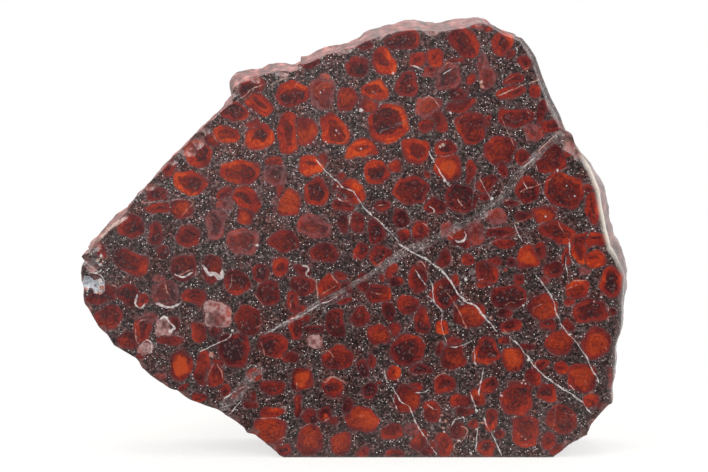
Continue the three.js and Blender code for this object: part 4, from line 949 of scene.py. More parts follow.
class Figure:
    """The stone's figure: columns, veins, the grey band and quartz grains, at any point of the slab.

    Its methods take points in mm: X, depth behind the face, Z.
    """

    SEED = 11
    VEIN_SETS = 4
    CLEAR = 1.5            # mm, least space between two veins of a set
    LEAN = (0.1, -0.05)    # mm that the figure moves in X and Z for each mm through the slab
    WANDER = 1.6           # mm that it moves at random, from a depth of WANDER_DEPTH mm on
    WANDER_DEPTH = 8
    SEAM = 0.16            # mm, half of the dark seam between columns that touch
    SIDE = 0.2             # how much brighter than its middle a column's bright side is
    LAMINAE = (0.6, 0.8)   # how far growth lines follow the core's outline and run straight across
    WANDER_SIZE = 9        # mm, width of the lumps of that random move
    RIPPLE = (0.7, 2.4)    # mm, height and width of the ripples of growth lines
    RING_PATCHES = (0.2, 3.4)      # strength, and width in mm, of brighter and darker patches of rings
    CORE_PATCHES = (0.16, 2.7)     # the same for cores
    SWELL_SIZE = 1.3       # mm, length of the swellings of veins
    DENSITY = (0.35, 0.4, 9)       # small grains: how dense, how much that varies, and over how many mm
    DUSTY = (0.4, (60, -40), (40, 90))     # how much denser at the upper left, and where that starts and ends
    # Height and width in mm, and place in the noise, of what makes outlines wander.
    COLUMN_WARPS = ((0.95, 5.3, 3), (0.6, 2.6, 4), (0.16, 1.1, 5))
    CORE_WARP = (0.6, 2.1, 7)
    VEIN_WARP = (0.22, 1.7, 17)

    def __init__(self, noise: StoneNoise) -> None:
        """Prepares columns and veins.

        Args:
            noise: Makes outlines wander.
        """
        self.noise = noise
        draws = np.random.default_rng(self.SEED).uniform(-1, 1, (len(COLUMNS), 4))
        self.columns = [ColumnShape(column, drawn) for column, drawn in zip(COLUMNS, draws)]
        self.bands = [VeinCourse(vein) for vein in BANDS]
        self.vein_sets = self._sorted([VeinCourse(vein) for vein in VEINS])

    def _sorted(self, courses: list[VeinCourse]) -> list[list[VeinCourse]]:
        """Spreads the veins over sets, so that veins of one set keep clear of each other.

        Args:
            courses: All the veins.

        Returns:
            The sets.
        """
        sets: list[list[VeinCourse]] = [[] for _ in range(self.VEIN_SETS)]
        for course in sorted(courses, key=lambda item: -item.arc[-1]):
            gaps = [min((course.gap(other) for other in group), default=FAR) for group in sets]
            clear = [i for i, gap in enumerate(gaps) if gap > self.CLEAR]
            sets[clear[0] if clear else int(np.argmax(gaps))].append(course)
        return sets

    def _drifted(self, points: Array) -> Array:
        """Follows the figure back to the polished face, since columns lean and wander through the slab.

        Args:
            points: The points.

        Returns:
            X and Z of the same figure on the face, in mm.
        """
        depth = points[:, 1]
        wander = self.WANDER * np.minimum(depth / self.WANDER_DEPTH, 1)
        x = points[:, 0] + self.LEAN[0] * depth + wander * self.noise.at(points + 31, self.WANDER_SIZE)
        z = points[:, 2] + self.LEAN[1] * depth + wander * self.noise.at(points + 57, self.WANDER_SIZE)
        return np.column_stack((x, z))

    def _warped(self, places: Array, points: Array, height: float, size: float, shift: float) -> Array:
        """Moves places a little, at random.

        Args:
            places: X and Z in mm.
            points: The points that the noise is read at.
            height: How far they move, in mm.
            size: Width of the noise's lumps, in mm.
            shift: Different shifts give different noises.

        Returns:
            The moved places.
        """
        moves = [self.noise.at(points + shift + 13 * k, size) for k in range(2)]
        return places + height * np.column_stack(moves)

    def cells(self, points: Array) -> tuple[Array, Array, Array]:
        """Reads the columns.

        Args:
            points: The points.

        Returns:
            For each point: distance outside its column, distance outside the core and growth-line place, in
            mm; tones of the ring and the core and the strength of dust; and the strength of growth lines.
        """
        places = self._drifted(points)
        for warp in self.COLUMN_WARPS:
            places = self._warped(places, points, *warp)
        inner = self._warped(places, points, *self.CORE_WARP)
        x, z = places.T
        best = np.full(len(points), FAR)
        second = np.full(len(points), FAR)
        cell = np.full((len(points), 3), FAR)
        tone = np.zeros((len(points), 3))
        laminae = np.zeros(len(points))
        ripple = self.RIPPLE[0] * self.noise.at(points + 90, self.RIPPLE[1])
        around, straight = self.LAMINAE
        for shape in self.columns:
            column = shape.column
            near = np.flatnonzero((np.abs(x - column.x) < shape.reach) & (np.abs(z - column.z) < shape.reach))
            distance, across = shape.outline(x[near], z[near])
            core = shape.core(inner[near, 0], inner[near, 1])
            nearer = distance < best[near]
            second[near] = np.where(nearer, best[near], np.minimum(second[near], distance))
            chosen = near[nearer]
            best[chosen] = distance[nearer]
            cell[chosen, 1] = core[nearer]
            cell[chosen, 2] = around * core[nearer] + straight * across[nearer] + ripple[chosen]
            tone[chosen] = shape.tones
            tone[chosen, :2] += self.SIDE * shape.shade(x[chosen], z[chosen])[:, None]
            laminae[chosen] = shape.laminae
        cell[:, 0] = np.maximum(best, self.SEAM - (second - best) / 2)
        tone[:, 0] += self.RING_PATCHES[0] * self.noise.at(points + 23, self.RING_PATCHES[1])
        tone[:, 1] += self.CORE_PATCHES[0] * self.noise.at(points + 29, self.CORE_PATCHES[1])
        return cell, tone, laminae

    def veins(self, points: Array, courses: list[VeinCourse]) -> Array:
        """Reads one set of veins.

        Args:
            points: The points.
            courses: The set.

        Returns:
            For each point: signed distance from the nearest vein's middle and half of its width, in mm, and
            its tint.
        """
        places = self._warped(self._drifted(points), points, *self.VEIN_WARP)
        swell = self.noise.at(points + 71, self.SWELL_SIZE)
        result = np.tile((FAR, -FAR, 0.0), (len(points), 1))
        for course in courses:
            near, across, half = course.measure(places, swell)
            better = half - np.abs(across) > result[near, 1] - np.abs(result[near, 0])
            result[near[better], 0] = across[better]
            result[near[better], 1] = half[better]
            result[near[better], 2] = course.vein.tint.value
        return result

    def grains(self, points: Array) -> Array:
        """Reads the quartz grains. Small grains lie most densely at the upper left.

        Args:
            points: The points.

        Returns:
            For each point: distance outside the nearest listed grain in mm, where later grains lie over
            earlier ones; its tint; and how densely small grains lie there, 0 to 1.
        """
        places = self._drifted(points)
        result = np.tile((FAR, 0.0, 0.0), (len(points), 1))
        for grain in GRAINS:
            distance = np.hypot(places[:, 0] - grain.x, places[:, 1] - grain.z) - grain.radius + points[:, 1]
            nearer = (distance < result[:, 0]) | (distance < 0)
            result[nearer, 0] = distance[nearer]
            result[nearer, 1] = grain.tint.value
        common, varied, size = self.DENSITY
        extra, across, up = self.DUSTY
        dusty = ease_step(*across, places[:, 0]) * ease_step(*up, places[:, 1])
        result[:, 2] = np.clip(common + varied * self.noise.at(points + 43, size) + extra * dusty, 0, 1)
        return result


@dataclass(frozen=True)
class SlabSize:
    """Sizes of the slab and of its mesh, in mm."""

    thickness: float = 25.0
    face_step: float = 0.52        # between the points of the polished face
    back_step: float = 1.2         # between the points of the sawn back
    rounding_rows: int = 8         # from the flat face to the rim
    rim_rows: int = 19             # from the rounding to the back
    ridge: float = 7.0             # width of the broad hollows of the broken rim
    ridge_stretch: float = 0.6     # they run longer through the slab than along its edge
    shell: float = 5.2             # width of the shell-shaped scars
    rubble: float = 2.4            # width of the roughness on them
    crumb: float = 1.5             # width of the crumbs along the rounding
    crumb_height: float = 0.24


class StromatoliteSlab:
    """The slab as one closed mesh, with the figure stored at its points."""

    RIM_DEPTHS = (0.0, 4.0, 8.0, 13.0, 18.0, 22.0, 25.0)       # mm behind the rounding
    FLARE_SHARES = (0.0, 0.55, 0.9, 1.0, 1.0, 0.8, 0.5)
    ROUGH_SHARES = (0.0, 0.6, 1.0, 1.0, 1.0, 0.8, 0.5)
    BROAD, SHELLS, RUBBLE = 0.7, 0.5, 0.22     # heights of the three kinds of relief of the rim
    SHELL_CREST, SHELL_FALL = 0.4, 1.6         # top of the ridges between shells, and how fast they fall off
    RELIEF_START = 2.5             # mm behind the rounding over which the relief grows
    ROW_GROWTH = 1.5               # 1 would space the rim's rows evenly
    CRUMBLED = (0.48, 0.3)         # least frost of broken stone, and how much its edge adds
    SAWN_BASE, SAWN_BACK = (0.35, 0.5), (0.2, 0.3)     # frost and wear
    CHIP_RAGS = (0.3, 2.0)         # raggedness of chips: height as a share of the radius, and width in mm
    CHIP_FROST = 0.5
    CREASE = math.radians(38)
    APART = 0.45                   # least space between lattice and ring, as a share of the step
    # The baked picture, in shares of its width: the face on top, the small back and the rim's strips below.
    MARGIN, FACE_WIDTH, FACE_LOW, BACK_SHARE = 0.01, 0.97, 0.21, 0.19
    STRIPS, STRIP_LEFT, STRIP_LENGTH, STRIP_PITCH, STRIP_HEIGHT = 4, 0.23, 0.75, 0.048, 0.042

    def __init__(self, size: SlabSize, edge: Edge, noise: StoneNoise) -> None:
        """Works out the mesh.

        Args:
            size: Sizes of the slab and of its mesh.
            edge: The edge of the polished face.
            noise: Shapes the broken rim.
        """
        self.size = size
        self.edge = edge
        self.noise = noise
        self.points = np.zeros((0, 3))
        self.frost = np.zeros(0)
        self.worn = np.zeros(0)
        self.faces: list[tuple[int, ...]] = []
        self.regions: list[str] = []
        self._build()

    def _add(self, places: Array, depth: Array | float, frost: Array | float, worn: Array | float) -> int:
        """Adds points.

        Args:
            places: X and Z in mm.
            depth: Depth behind the face in mm.
            frost: How crushed the surface is, 0 to 1.
            worn: How dull the polish is, 0 to 1; it also sets the pale haze and painted sheen.

        Returns:
            Number of the first new point.
        """
        first, blank = len(self.points), np.zeros(len(places))
        self.points = np.vstack((self.points, np.column_stack((places[:, 0], depth + blank, places[:, 1]))))
        self.frost = np.concatenate((self.frost, frost + blank))
        self.worn = np.concatenate((self.worn, worn + blank))
        return first

    def _moved(self, out: Array) -> Array:
        """Moves the edge's places outward by a distance in mm, but never below the base."""
        places = self.edge.places + self.edge.outward * out[:, None]
        return np.column_stack((places[:, 0], np.maximum(places[:, 1], 0)))

    def _rounding(self, row: int) -> None:
        """Adds one row of the rounding between face and rim.

        Args:
            row: Its number, from 0 on the flat face.
        """
        edge = self.edge
        turn = row / self.size.rounding_rows * math.pi / 2
        share = math.sin(turn)
        places = self._moved(-edge.inset * (1 - share))
        depth = edge.drop * (1 - math.cos(turn))
        points = np.column_stack((places[:, 0], depth, places[:, 1]))
        crumbs = self.noise.rough(points + 5, self.size.crumb, 2)
        depth = depth + np.abs(self.size.crumb_height * crumbs * edge.frost * share)
        # Wear grows towards the outer edge of the rounding; there the material also paints a pale sheen, a
        # painted reflection over the ground haze.
        self._add(places, depth, edge.frost * share ** 1.5, edge.ground * ease_step(0.1, 0.95, share))

    def _rim(self, row: int) -> None:
        """Adds one row of the rim.

        Args:
            row: Its number, from 1 next to the rounding.
        """
        edge, size = self.edge, self.size
        below = (size.thickness - edge.drop) * (row / size.rim_rows) ** self.ROW_GROWTH
        depth = edge.drop + below
        start = np.column_stack((edge.places[:, 0], depth * size.ridge_stretch, edge.places[:, 1]))
        into = np.minimum(below / self.RELIEF_START, 1)
        broad = self.BROAD * self.noise.at(start, size.ridge)
        shells = self.SHELL_CREST - self.SHELL_FALL * np.abs(self.noise.at(start + 19, size.shell))
        rubble = self.RUBBLE * self.noise.rough(start + 41, size.rubble, 3)
        relief = broad * np.interp(below, self.RIM_DEPTHS, self.ROUGH_SHARES)
        out = edge.rough * (relief + into * (self.SHELLS * shells + rubble))
        out += edge.flare * np.interp(below, self.RIM_DEPTHS, self.FLARE_SHARES)
        sawn = edge.places[:, 1] < 0.05
        crumbled = (self.CRUMBLED[0] + self.CRUMBLED[1] * edge.frost) * np.minimum(into * 1.5, 1)
        frost = np.where(sawn, self.SAWN_BASE[0], np.maximum(edge.frost, crumbled))
        self._add(self._moved(out), depth, frost, np.where(sawn, self.SAWN_BASE[1], 0.0))

    def _lattice(self, ring: Array, step: float, extra: Array) -> tuple[Array, list[tuple[int, ...]]]:
        """Fills a ring with evenly spaced points and triangles.

        Args:
            ring: X and Z of the ring, in mm.
            step: Distance between points, in mm.
            extra: Further points to include, in mm.

        Returns:
            X and Z of the inner points; and triangles, which count the ring's points first.
        """
        low, high = ring.min(axis=0), ring.max(axis=0)
        rise = step * math.sqrt(3) / 2
        rows = np.arange(low[1] + rise / 2, high[1], rise)
        grid_x, grid_z = np.meshgrid(np.arange(low[0], high[0] + step, step), rows)
        grid_x = grid_x + (np.arange(len(rows)) % 2)[:, None] * step / 2
        places = self._fitting(np.column_stack((grid_x.ravel(), grid_z.ravel())), ring, step)
        extra = self._fitting(extra, ring, step)
        places = np.vstack((places[self._clearance(places, extra) > step / 2], extra))
        corners = [Vector(place) for place in np.vstack((ring, places))]
        _, _, triangles, origins, _, _ = delaunay_2d_cdt(corners, [], [list(range(len(ring)))], 1, 1e-6)
        if not all(origins):
            raise ValueError("the face's ring crosses itself")
        return places, [tuple(origins[k][0] for k in triangle) for triangle in triangles]

    def _fitting(self, places: Array, ring: Array, step: float) -> Array:
        """Keeps the places that lie inside a ring and clear of its points.

        Args:
            places: X and Z in mm.
            ring: The ring's points in mm.
            step: Distance between points, in mm.

        Returns:
            The places that are kept.
        """
        inside = np.zeros(len(places), dtype=bool)
        for start, end in zip(ring, np.roll(ring, -1, axis=0)):
            rise = end[1] - start[1]
            if rise:
                crossing = start[0] + (places[:, 1] - start[1]) / rise * (end[0] - start[0])
                spans = (start[1] > places[:, 1]) != (end[1] > places[:, 1])
                inside ^= spans & (places[:, 0] < crossing)
        places = places[inside]
        return places[self._clearance(places, ring) > step * self.APART]

    @staticmethod
    def _clearance(places: Array, others: Array) -> Array:
        """Measures from each place to the nearest of some others.

        Args:
            places: X and Z in mm.
            others: X and Z in mm.

        Returns:
            The distances in mm.
        """
        least = np.full(len(places), np.inf)
        for x, z in others:
            least = np.minimum(least, (places[:, 0] - x) ** 2 + (places[:, 1] - z) ** 2)
        return np.sqrt(least)

    def _build(self) -> None:
        """Makes the points and faces of the rounding, the rim, the polished face and the back."""
        size, count = self.size, len(self.edge.places)
        for row in range(size.rounding_rows + 1):
            self._rounding(row)
        for row in range(1, size.rim_rows + 1):
            self._rim(row)
        last = (size.rounding_rows + size.rim_rows) * count
        for low in range(0, last, count):
            high = low + count
            for i in range(count):
                after = (i + 1) % count
                self.faces.append((low + i, low + after, high + after, high + i))
            self.regions += ["rounding" if low < size.rounding_rows * count else "rim"] * count
        grains = np.array([(grain.x, grain.z) for grain in GRAINS])
        self._fill(0, size.face_step, grains, False)
        self._fill(last, size.back_step, np.zeros((0, 2)), True)
        self._chip()

    def _fill(self, start: int, step: float, extra: Array, back: bool) -> None:
        """Closes a ring with a flat face.

        Args:
            start: Number of the ring's first point.
            step: Distance between points, in mm.
            extra: Further points to include, X and Z in mm.
            back: Whether it is the back, which faces the other way.
        """
        count = len(self.edge.places)
        places, triangles = self._lattice(self.points[start:start + count, [0, 2]], step, extra)
        depth, surface = (self.size.thickness, self.SAWN_BACK) if back else (0.0, (0.0, 0.0))
        first = self._add(places, depth, *surface)
        for triangle in triangles:
            face = tuple(start + k if k < count else first + k - count for k in triangle)
            self.faces.append(face[::-1] if back else face)
        self.regions += ["back" if back else "face"] * len(triangles)

    def _chip(self) -> None:
        """Breaks the shell-shaped chips out of the edge."""
        height, size = self.CHIP_RAGS
        ragged = height * self.noise.rough(self.points + 67, size, 2)
        for chip in CHIPS:
            away = np.hypot(self.points[:, 0] - chip.x, self.points[:, 2] - chip.z) / chip.radius + ragged
            bowl = np.clip(1 - away ** 2, 0, 1) * (self.points[:, 1] < chip.depth)
            self.points[:, 1] = np.maximum(self.points[:, 1], chip.depth * bowl)
            self.frost = np.maximum(self.frost, self.CHIP_FROST * ease_step(0.0, 0.25, bowl))

    def create(self, name: str, figure: Figure) -> bpy.types.Object:
        """Makes the object.

        Args:
            name: The object's name.
            figure: The stone's figure.

        Returns:
            The object.
        """
        mesh = bpy.data.meshes.new(name)
        position = (self.points - (MIDDLE_X, self.size.thickness / 2, 0)) * MM
        mesh.from_pydata(position.tolist(), [], self.faces)
        mesh.shade_smooth()
        mesh.set_sharp_from_angle(angle=self.CREASE)
        self._store(mesh, figure)
        self._unwrap(mesh)
        mesh.validate()
        slab = bpy.data.objects.new(name, mesh)
        bpy.context.scene.collection.objects.link(slab)
        return slab

    def _store(self, mesh: bpy.types.Mesh, figure: Figure) -> None:
        """Stores the figure at the mesh's points.

        Args:
            mesh: The mesh.
            figure: The stone's figure.
        """
        cell, tone, laminae = figure.cells(self.points)
        fields = {
            "cell": cell,
            "tone": tone,
            "band": figure.veins(self.points, figure.bands),
            "grain": figure.grains(self.points),
            "surface": np.column_stack((self.frost, self.worn, laminae)),
        }
        for number, courses in enumerate(figure.vein_sets, start=1):
            fields[f"vein_{number}"] = figure.veins(self.points, courses)
        for name, values in fields.items():
            attribute = mesh.attributes.new(name, "FLOAT_VECTOR", "POINT")
            attribute.data.foreach_set("vector", values.astype(np.float32).ravel())

    def _unwrap(self, mesh: bpy.types.Mesh) -> None:
        """Lays the faces out flat for baking.

        Args:
            mesh: The mesh.
        """
        corners = np.zeros(len(mesh.loops), dtype=int)
        mesh.loops.foreach_get("vertex_index", corners)
        x, depth, z = self.points[corners].T
        sizes = np.array([len(face) for face in self.faces])
        region = np.repeat(np.array(self.regions), sizes)
        back, rim = region == "back", region == "rim"
        scale = self.FACE_WIDTH / (x.max() - x.min()) * np.where(back, self.BACK_SHARE, 1)
        u = self.MARGIN + np.where(back, x.max() - x, x - x.min()) * scale
        v = np.where(back, self.MARGIN, self.FACE_LOW) + z * scale
        count = len(self.edge.places)
        per_strip = math.ceil(count / self.STRIPS)
        station, owner = corners % count, np.repeat(np.arange(len(self.faces)) % count, sizes)
        strip = owner // per_strip
        place = np.where((station == 0) & (owner == count - 1), count, station) - strip * per_strip
        u = np.where(rim, self.STRIP_LEFT + self.STRIP_LENGTH * place / per_strip, u)
        low = self.MARGIN + strip * self.STRIP_PITCH
        v = np.where(rim, low + self.STRIP_HEIGHT * depth / self.size.thickness, v)
        layer = mesh.uv_layers.new(name="OFBake")
        layer.data.foreach_set("uv", np.column_stack((u, v)).astype(np.float32).ravel())


Stops = tuple[tuple[float, str] | tuple[float, str, float], ...]
Value = float | tuple[float, ...] | bpy.types.Node | bpy.types.NodeSocket


def add(
    tree: bpy.types.NodeTree, kind: str, *inputs: Value, stops: Stops = (), **settings: object,
) -> bpy.types.Node:
    """Adds a node to a tree.

    Args:
        tree: The tree.
        kind: The node's type, and after a space its operation.
        inputs: What goes into its inputs, in their order: a number, a colour, another node's output, or a
            node for its first output.
        stops: Place, sRGB colour and, where it isn't 1, opacity of each colour of a ramp.
        settings: Inputs by name, with _ for a space, and the node's own settings.

    Returns:
        The node.
    """
    name, _, operation = kind.partition(" ")
    node = tree.nodes.new(f"ShaderNode{name}")
    if operation:
        node.operation = operation
    pairs = []
    for key, value in settings.items():
        socket = node.inputs.get(key.replace("_", " "))
        if socket is None:
            setattr(node, key, value)
        else:
            pairs.append((socket, value))
    pairs += zip([socket for socket in node.inputs if socket.enabled], inputs)
    for socket, value in pairs:
        if isinstance(value, bpy.types.Node):
            value = next(output for output in value.outputs if output.enabled)
        if isinstance(value, bpy.types.NodeSocket):
            tree.links.new(value, socket)
        else:
            socket.default_value = value
    if stops:
        elements = node.color_ramp.elements
        elements[0].position, elements[1].position = stops[0][0], stops[-1][0]
        for stop in stops[1:-1]:
            elements.new(stop[0])
        for element, (_, code, *opacity) in zip(elements, stops):
            element.color = (*linear(code)[:3], *(opacity or [1.0]))
    return node


class PolishedJasper:
    """Jasper and iron-rich chert, lapped flat and polished: deep colour under a sharp, weak reflection.

    Ground places are mixed towards a pale cream: partly the haze of fine scratches, partly a painted sheen
    that stands in for reflected light. Broken stone is pale and dull, since every crystal face on it scatters
    light.
    """

    IOR = 1.544            # quartz
    POLISH = 0.09          # roughness of the polished face
    SMEAR = 0.04           # how much it varies
    DULL = 0.38            # roughness of worn and sawn stone
    BROKEN = 0.62          # roughness of broken stone
    RELIEF = 0.35          # mm, height of the fine relief of broken stone
    BUMP = 0.8             # strength of that relief
    STREAK = (1.0, 0.45, 1.0)      # columns run through the slab, so broken stone is streaked front to back
    HAZE_AND_PAINTED_SHEEN = "d9cebe"        # what ground stone scatters over its own colour, partly a painted sheen of reflected light
    HALO = "6a3c3f"        # iron-stained chert round the columns
    FRINGE = "a07a74"      # pale quartz along parts of the columns
    RIND = "5c2b2b"        # dull outside of the rings

    # Sizes in mm. Grains are drawn at their real size.
    GRAIN = 0.42           # between the chert's dark grains
    QUARTZ = 0.52          # between its pale quartz grains
    SPECK = 0.4            # between specks in the cores
    GROWTH = 0.72          # between growth lines
    RING_GROWTH = 0.95     # between growth lines round the core
    FIBRE = 0.62           # between fibres of the grey band
    GRIT = 0.9             # width of the fine relief of broken stone
    STREAK_WIDTH = 2.6
    SMEAR_WIDTH = 6.0
    FINE, BLOTCH = 0.9, 2.8        # width of fine and of broad mottling in the columns

    # Strengths. In pairs, the second is how much a number from 0 to 1 adds to the first.
    DRIFTS = ((1.6, 0.5), (3.5, 2.2))      # width in mm and strength of drifts of darker and of pinker chert
    QUARTZ_CHANCE, QUARTZ_RADIUS, QUARTZ_COVER = (0.27, 0.5), (0.11, 0.12), (0.55, 0.6)
    WAVER, RING_WAVER = 4.0, 7.0           # how far growth lines wander, in radians
    # How much fine and broad mottling, lines round the core, growth lines and the core's hem change the tone.
    RING_TONES = (0.85, 0.85, 1.0, 0.07, -0.12)
    CORE_TONES = (0.75, 0.6, 1.0, 0.1)
    HALO_COVER, DUST_COVER, CRUSHED_COVER = 0.42, 0.85, 0.92       # the most that each covers
    SPECKLED = (0.3, 0.05, 0.04, 0.22)     # from which tone of core to which specks show more, and how much

    # Colours, as the place on a scale from 0 to 1 and the colour there.
    RING: Stops = (
        (0.0, "2a0e11"), (0.25, "4c181a"), (0.5, "70231f"), (0.75, "8e2b1c"), (0.93, "a2351a"),
        (1.0, "b6431d"),
    )
    CORE: Stops = ((0.0, "301b1d"), (0.15, "481c1c"), (0.4, "64211b"), (0.7, "8a301b"), (1.0, "a43d1d"))
    MATRIX: Stops = ((0.0, "221f1f"), (0.5, "413937"), (0.8, "5f5250"), (1.0, "827674"))
    HUE: Stops = ((0.1, "dfe0db"), (0.35, "e2d6db"), (0.6, "eccccb"), (0.9, "f5beb8"))
    PALE_GRAIN: Stops = ((0.0, "a59d9b"), (0.45, "d6cfcc"), (0.7, "dcb4ac"), (1.0, "fcfaf8"))
    SPECKS: Stops = ((0.0, "4d464c"), (0.6, "7c6062"), (1.0, "c2a5a2"))
    DUST: Stops = ((0.4, "74494a"), (0.9, "ab8b88"))
    BAND: Stops = ((0.35, "5d5153"), (0.5, "837877"), (0.68, "b5aaa7"))
    CRUSHED: Stops = (
        (0.28, "3a2523"), (0.42, "5f3d39"), (0.53, "804f4a"), (0.64, "a36963"), (0.78, "cd958d"),
    )
    VEIN: Stops = (
        (0.0, "2b2930", 0.5), (0.3, "7d7273", 0.55), (0.45, "a9b2bb", 0.8), (0.6, "d2cac7", 0.85),
        (0.8, "c7a799", 0.7), (1.0, "bc8578", 0.7),
    )

    # Ragged outlines: width and height in mm.
    COLUMN_RAG = (0.5, 0.32)
    CORE_RAG = (0.8, 0.5)
    HALO_RAG = (2.6, 1.1)
    BAND_RAG = (1.2, 0.5)
    VEIN_RAGS = ((0.45, 0.2), (1.9, 0.3))
    GRAIN_RAG = (0.7, 0.45)

    # Patches: width in mm, where on the noise's scale there is least and most, how much then, finer layers.
    FRINGE_PATCHES = (3.2, (0.58, 0.68), (0.0, 0.35), 1.0)
    LINE_PATCHES = (2.2, (0.42, 0.64), (0.01, 0.15), 1.0)
    RIND_PATCHES = (4.5, (0.38, 0.62), (0.1, 0.75), 1.0)
    DUST_PATCHES = (1.1, (0.36, 0.64), (0.2, 1.1), 4.0)
    BAND_PATCHES = (3.8, (0.36, 0.66), (0.06, 0.56), 2.0)
    VEIN_PATCHES = (1.4, (0.38, 0.6), (0.4, 1.0), 3.0)
    GRAIN_PATCHES = (0.5, (0.35, 0.6), (0.5, 1.1), 2.0)
    CRUSHED_PATCHES = (2.4, (0.35, 0.6), (0.5, 1.3), 4.0)

    def __init__(self, name: str) -> None:
        """Makes the material, which is then in self.material.

        Args:
            name: Its name.
        """
        self.material = bpy.data.materials.new(name)
        self.material.use_nodes = True
        tree = self.material.node_tree
        tree.nodes.clear()
        self.node = partial(add, tree)
        self.place = self.node("VectorMath SCALE", self.node("TexCoord").outputs["Object"], 1 / MM)
        cell, tone, grain, surface = (self._field(field) for field in ("cell", "tone", "grain", "surface"))
        colour = self._fringe(cell[0], self._chert(grain[2]))
        inside = self._within(cell[0], self.COLUMN_RAG, soft=0.15)
        colour = self.node("Mix", inside, colour, self._column(cell, tone, surface[2]), data_type="RGBA")
        colour = self._grey_band(colour)
        for number in range(1, Figure.VEIN_SETS + 1):
            colour = self._veined(number, colour)
        colour = self._grained(grain, self._broken(surface[0], colour))
        # Worn and ground places are mixed towards pale cream: partly the haze of ground stone, partly a
        # painted sheen in place of reflected light at the edges.
        haze_and_painted_sheen = self.node("Math MULTIPLY", surface[1], surface[1])
        colour = self.node("Mix", haze_and_painted_sheen, colour, linear(self.HAZE_AND_PAINTED_SHEEN), data_type="RGBA")
        relief = self.node("Math MULTIPLY", self.node("TexNoise", self.place, 1 / self.GRIT, 5.0), surface[0])
        normal = self.node("Bump", Height=relief, Strength=self.BUMP, Distance=self.RELIEF * MM)
        rough = self._roughness(surface)
        shader = self.node("BsdfPrincipled", colour, Roughness=rough, IOR=self.IOR, Normal=normal)
        self.node("OutputMaterial", shader)

    def _field(self, name: str) -> list[bpy.types.NodeSocket]:
        """Reads three numbers that the mesh stores at its points under a name."""
        numbers = self.node("Attribute", attribute_name=name).outputs["Vector"]
        return list(self.node("SeparateXYZ", numbers).outputs)

    def _sway(self, size: float, detail: float = 2.0) -> bpy.types.Node:
        """Varies round 0, at random, in lumps of a width in mm with a number of finer layers."""
        return self.node("Math SUBTRACT", self.node("TexNoise", self.place, 1 / size, detail), 0.5)

    def _patches(self, size: float, noise: Point, shares: Point, detail: float) -> bpy.types.Node:
        """Spreads something in patches.

        Args:
            size: Width of the patches in mm.
            noise: Where on the noise's scale, which is 0 to 1, there is least and most.
            shares: How much there is then.
            detail: Number of finer layers.

        Returns:
            How much there is.
        """
        return self.node("MapRange", self.node("TexNoise", self.place, 1 / size, detail), *noise, *shares)

    def _within(self, distance: Value, *rags: tuple[float, float], soft: float) -> bpy.types.Node:
        """Turns a distance outside something into how much of it covers: 1 inside and 0 outside.

        Args:
            distance: The distance in mm.
            rags: Width and height in mm of what makes its outline ragged.
            soft: Half of the soft edge's width in mm.

        Returns:
            A number from 0 to 1.
        """
        for size, height in rags:
            distance = self.node("Math MULTIPLY_ADD", self._sway(size), height * 2, distance)
        return self.node("MapRange", distance, soft, -soft, 0.0, 1.0, interpolation_type="SMOOTHSTEP")

    def _sum(self, start: Value, *terms: tuple[Value, Value]) -> Value:
        """Adds products to a number.

        Args:
            start: The number.
            terms: The two factors of each product.

        Returns:
            The sum.
        """
        for first, second in terms:
            start = self.node("Math MULTIPLY_ADD", first, second, start)
        return start

    def _chert(self, density: Value) -> Value:
        """Colours the chert between the columns: dark grains, and pale quartz grains about 1 mm apart.

        Args:
            density: How densely pale grains lie, 0 to 1.

        Returns:
            The colour.
        """
        dense = self.node("Math SUBTRACT", density, 0.5)
        dark = self.node("TexVoronoi", self.place, 1 / self.GRAIN).outputs["Color"]
        shade, kind, _ = self.node("SeparateColor", dark).outputs
        (width, strength), (hue_width, hue_strength) = self.DRIFTS
        lift = self._sum(shade, (self._sway(width), strength), (dense, 0.25))
        kind = self.node("Math SUBTRACT", kind, 0.5)
        hue = self._sum(0.5, (self._sway(hue_width), hue_strength), (kind, 0.5))
        grains = self.node("ValToRGB", lift, stops=self.MATRIX)
        tint = self.node("ValToRGB", hue, stops=self.HUE)
        colour = self.node("Mix", 1.0, grains, tint, data_type="RGBA", blend_type="MULTIPLY")
        quartz = self.node("TexVoronoi", self.place, 1 / self.QUARTZ)
        chance, kind, strength = self.node("SeparateColor", quartz.outputs["Color"]).outputs
        least, more = self.QUARTZ_CHANCE
        there = self.node("Math LESS_THAN", chance, self._sum(least, (density, more)))
        least, more = self.QUARTZ_RADIUS
        outside = self.node("Math SUBTRACT", quartz.outputs["Distance"], self._sum(least, (kind, more)))
        cover = self.node("Math MULTIPLY", self._within(outside, soft=0.07), there)
        least, more = self.QUARTZ_COVER
        cover = self.node("Math MULTIPLY", cover, self._sum(least, (strength, more)))
        pale = self.node("ValToRGB", kind, stops=self.PALE_GRAIN)
        return self.node("Mix", cover, colour, pale, data_type="RGBA")

    def _fringe(self, distance: Value, colour: Value) -> Value:
        """Adds a rosy halo about 0.5 mm wide round the columns, and a thin pale fringe along parts of them.

        Args:
            distance: Distance outside the column in mm.
            colour: The colour so far.

        Returns:
            The colour.
        """
        halo = self._within(self.node("Math SUBTRACT", distance, 0.25), self.HALO_RAG, soft=0.55)
        halo = self.node("Math MULTIPLY", halo, self.HALO_COVER)
        colour = self.node("Mix", halo, colour, linear(self.HALO), data_type="RGBA")
        away = self.node("Math ABSOLUTE", self.node("Math SUBTRACT", distance, 0.2))
        line = self._within(self.node("Math SUBTRACT", away, 0.12), soft=0.16)
        line = self.node("Math MULTIPLY", line, self._patches(*self.FRINGE_PATCHES))
        return self.node("Mix", line, colour, linear(self.FRINGE), data_type="RGBA")

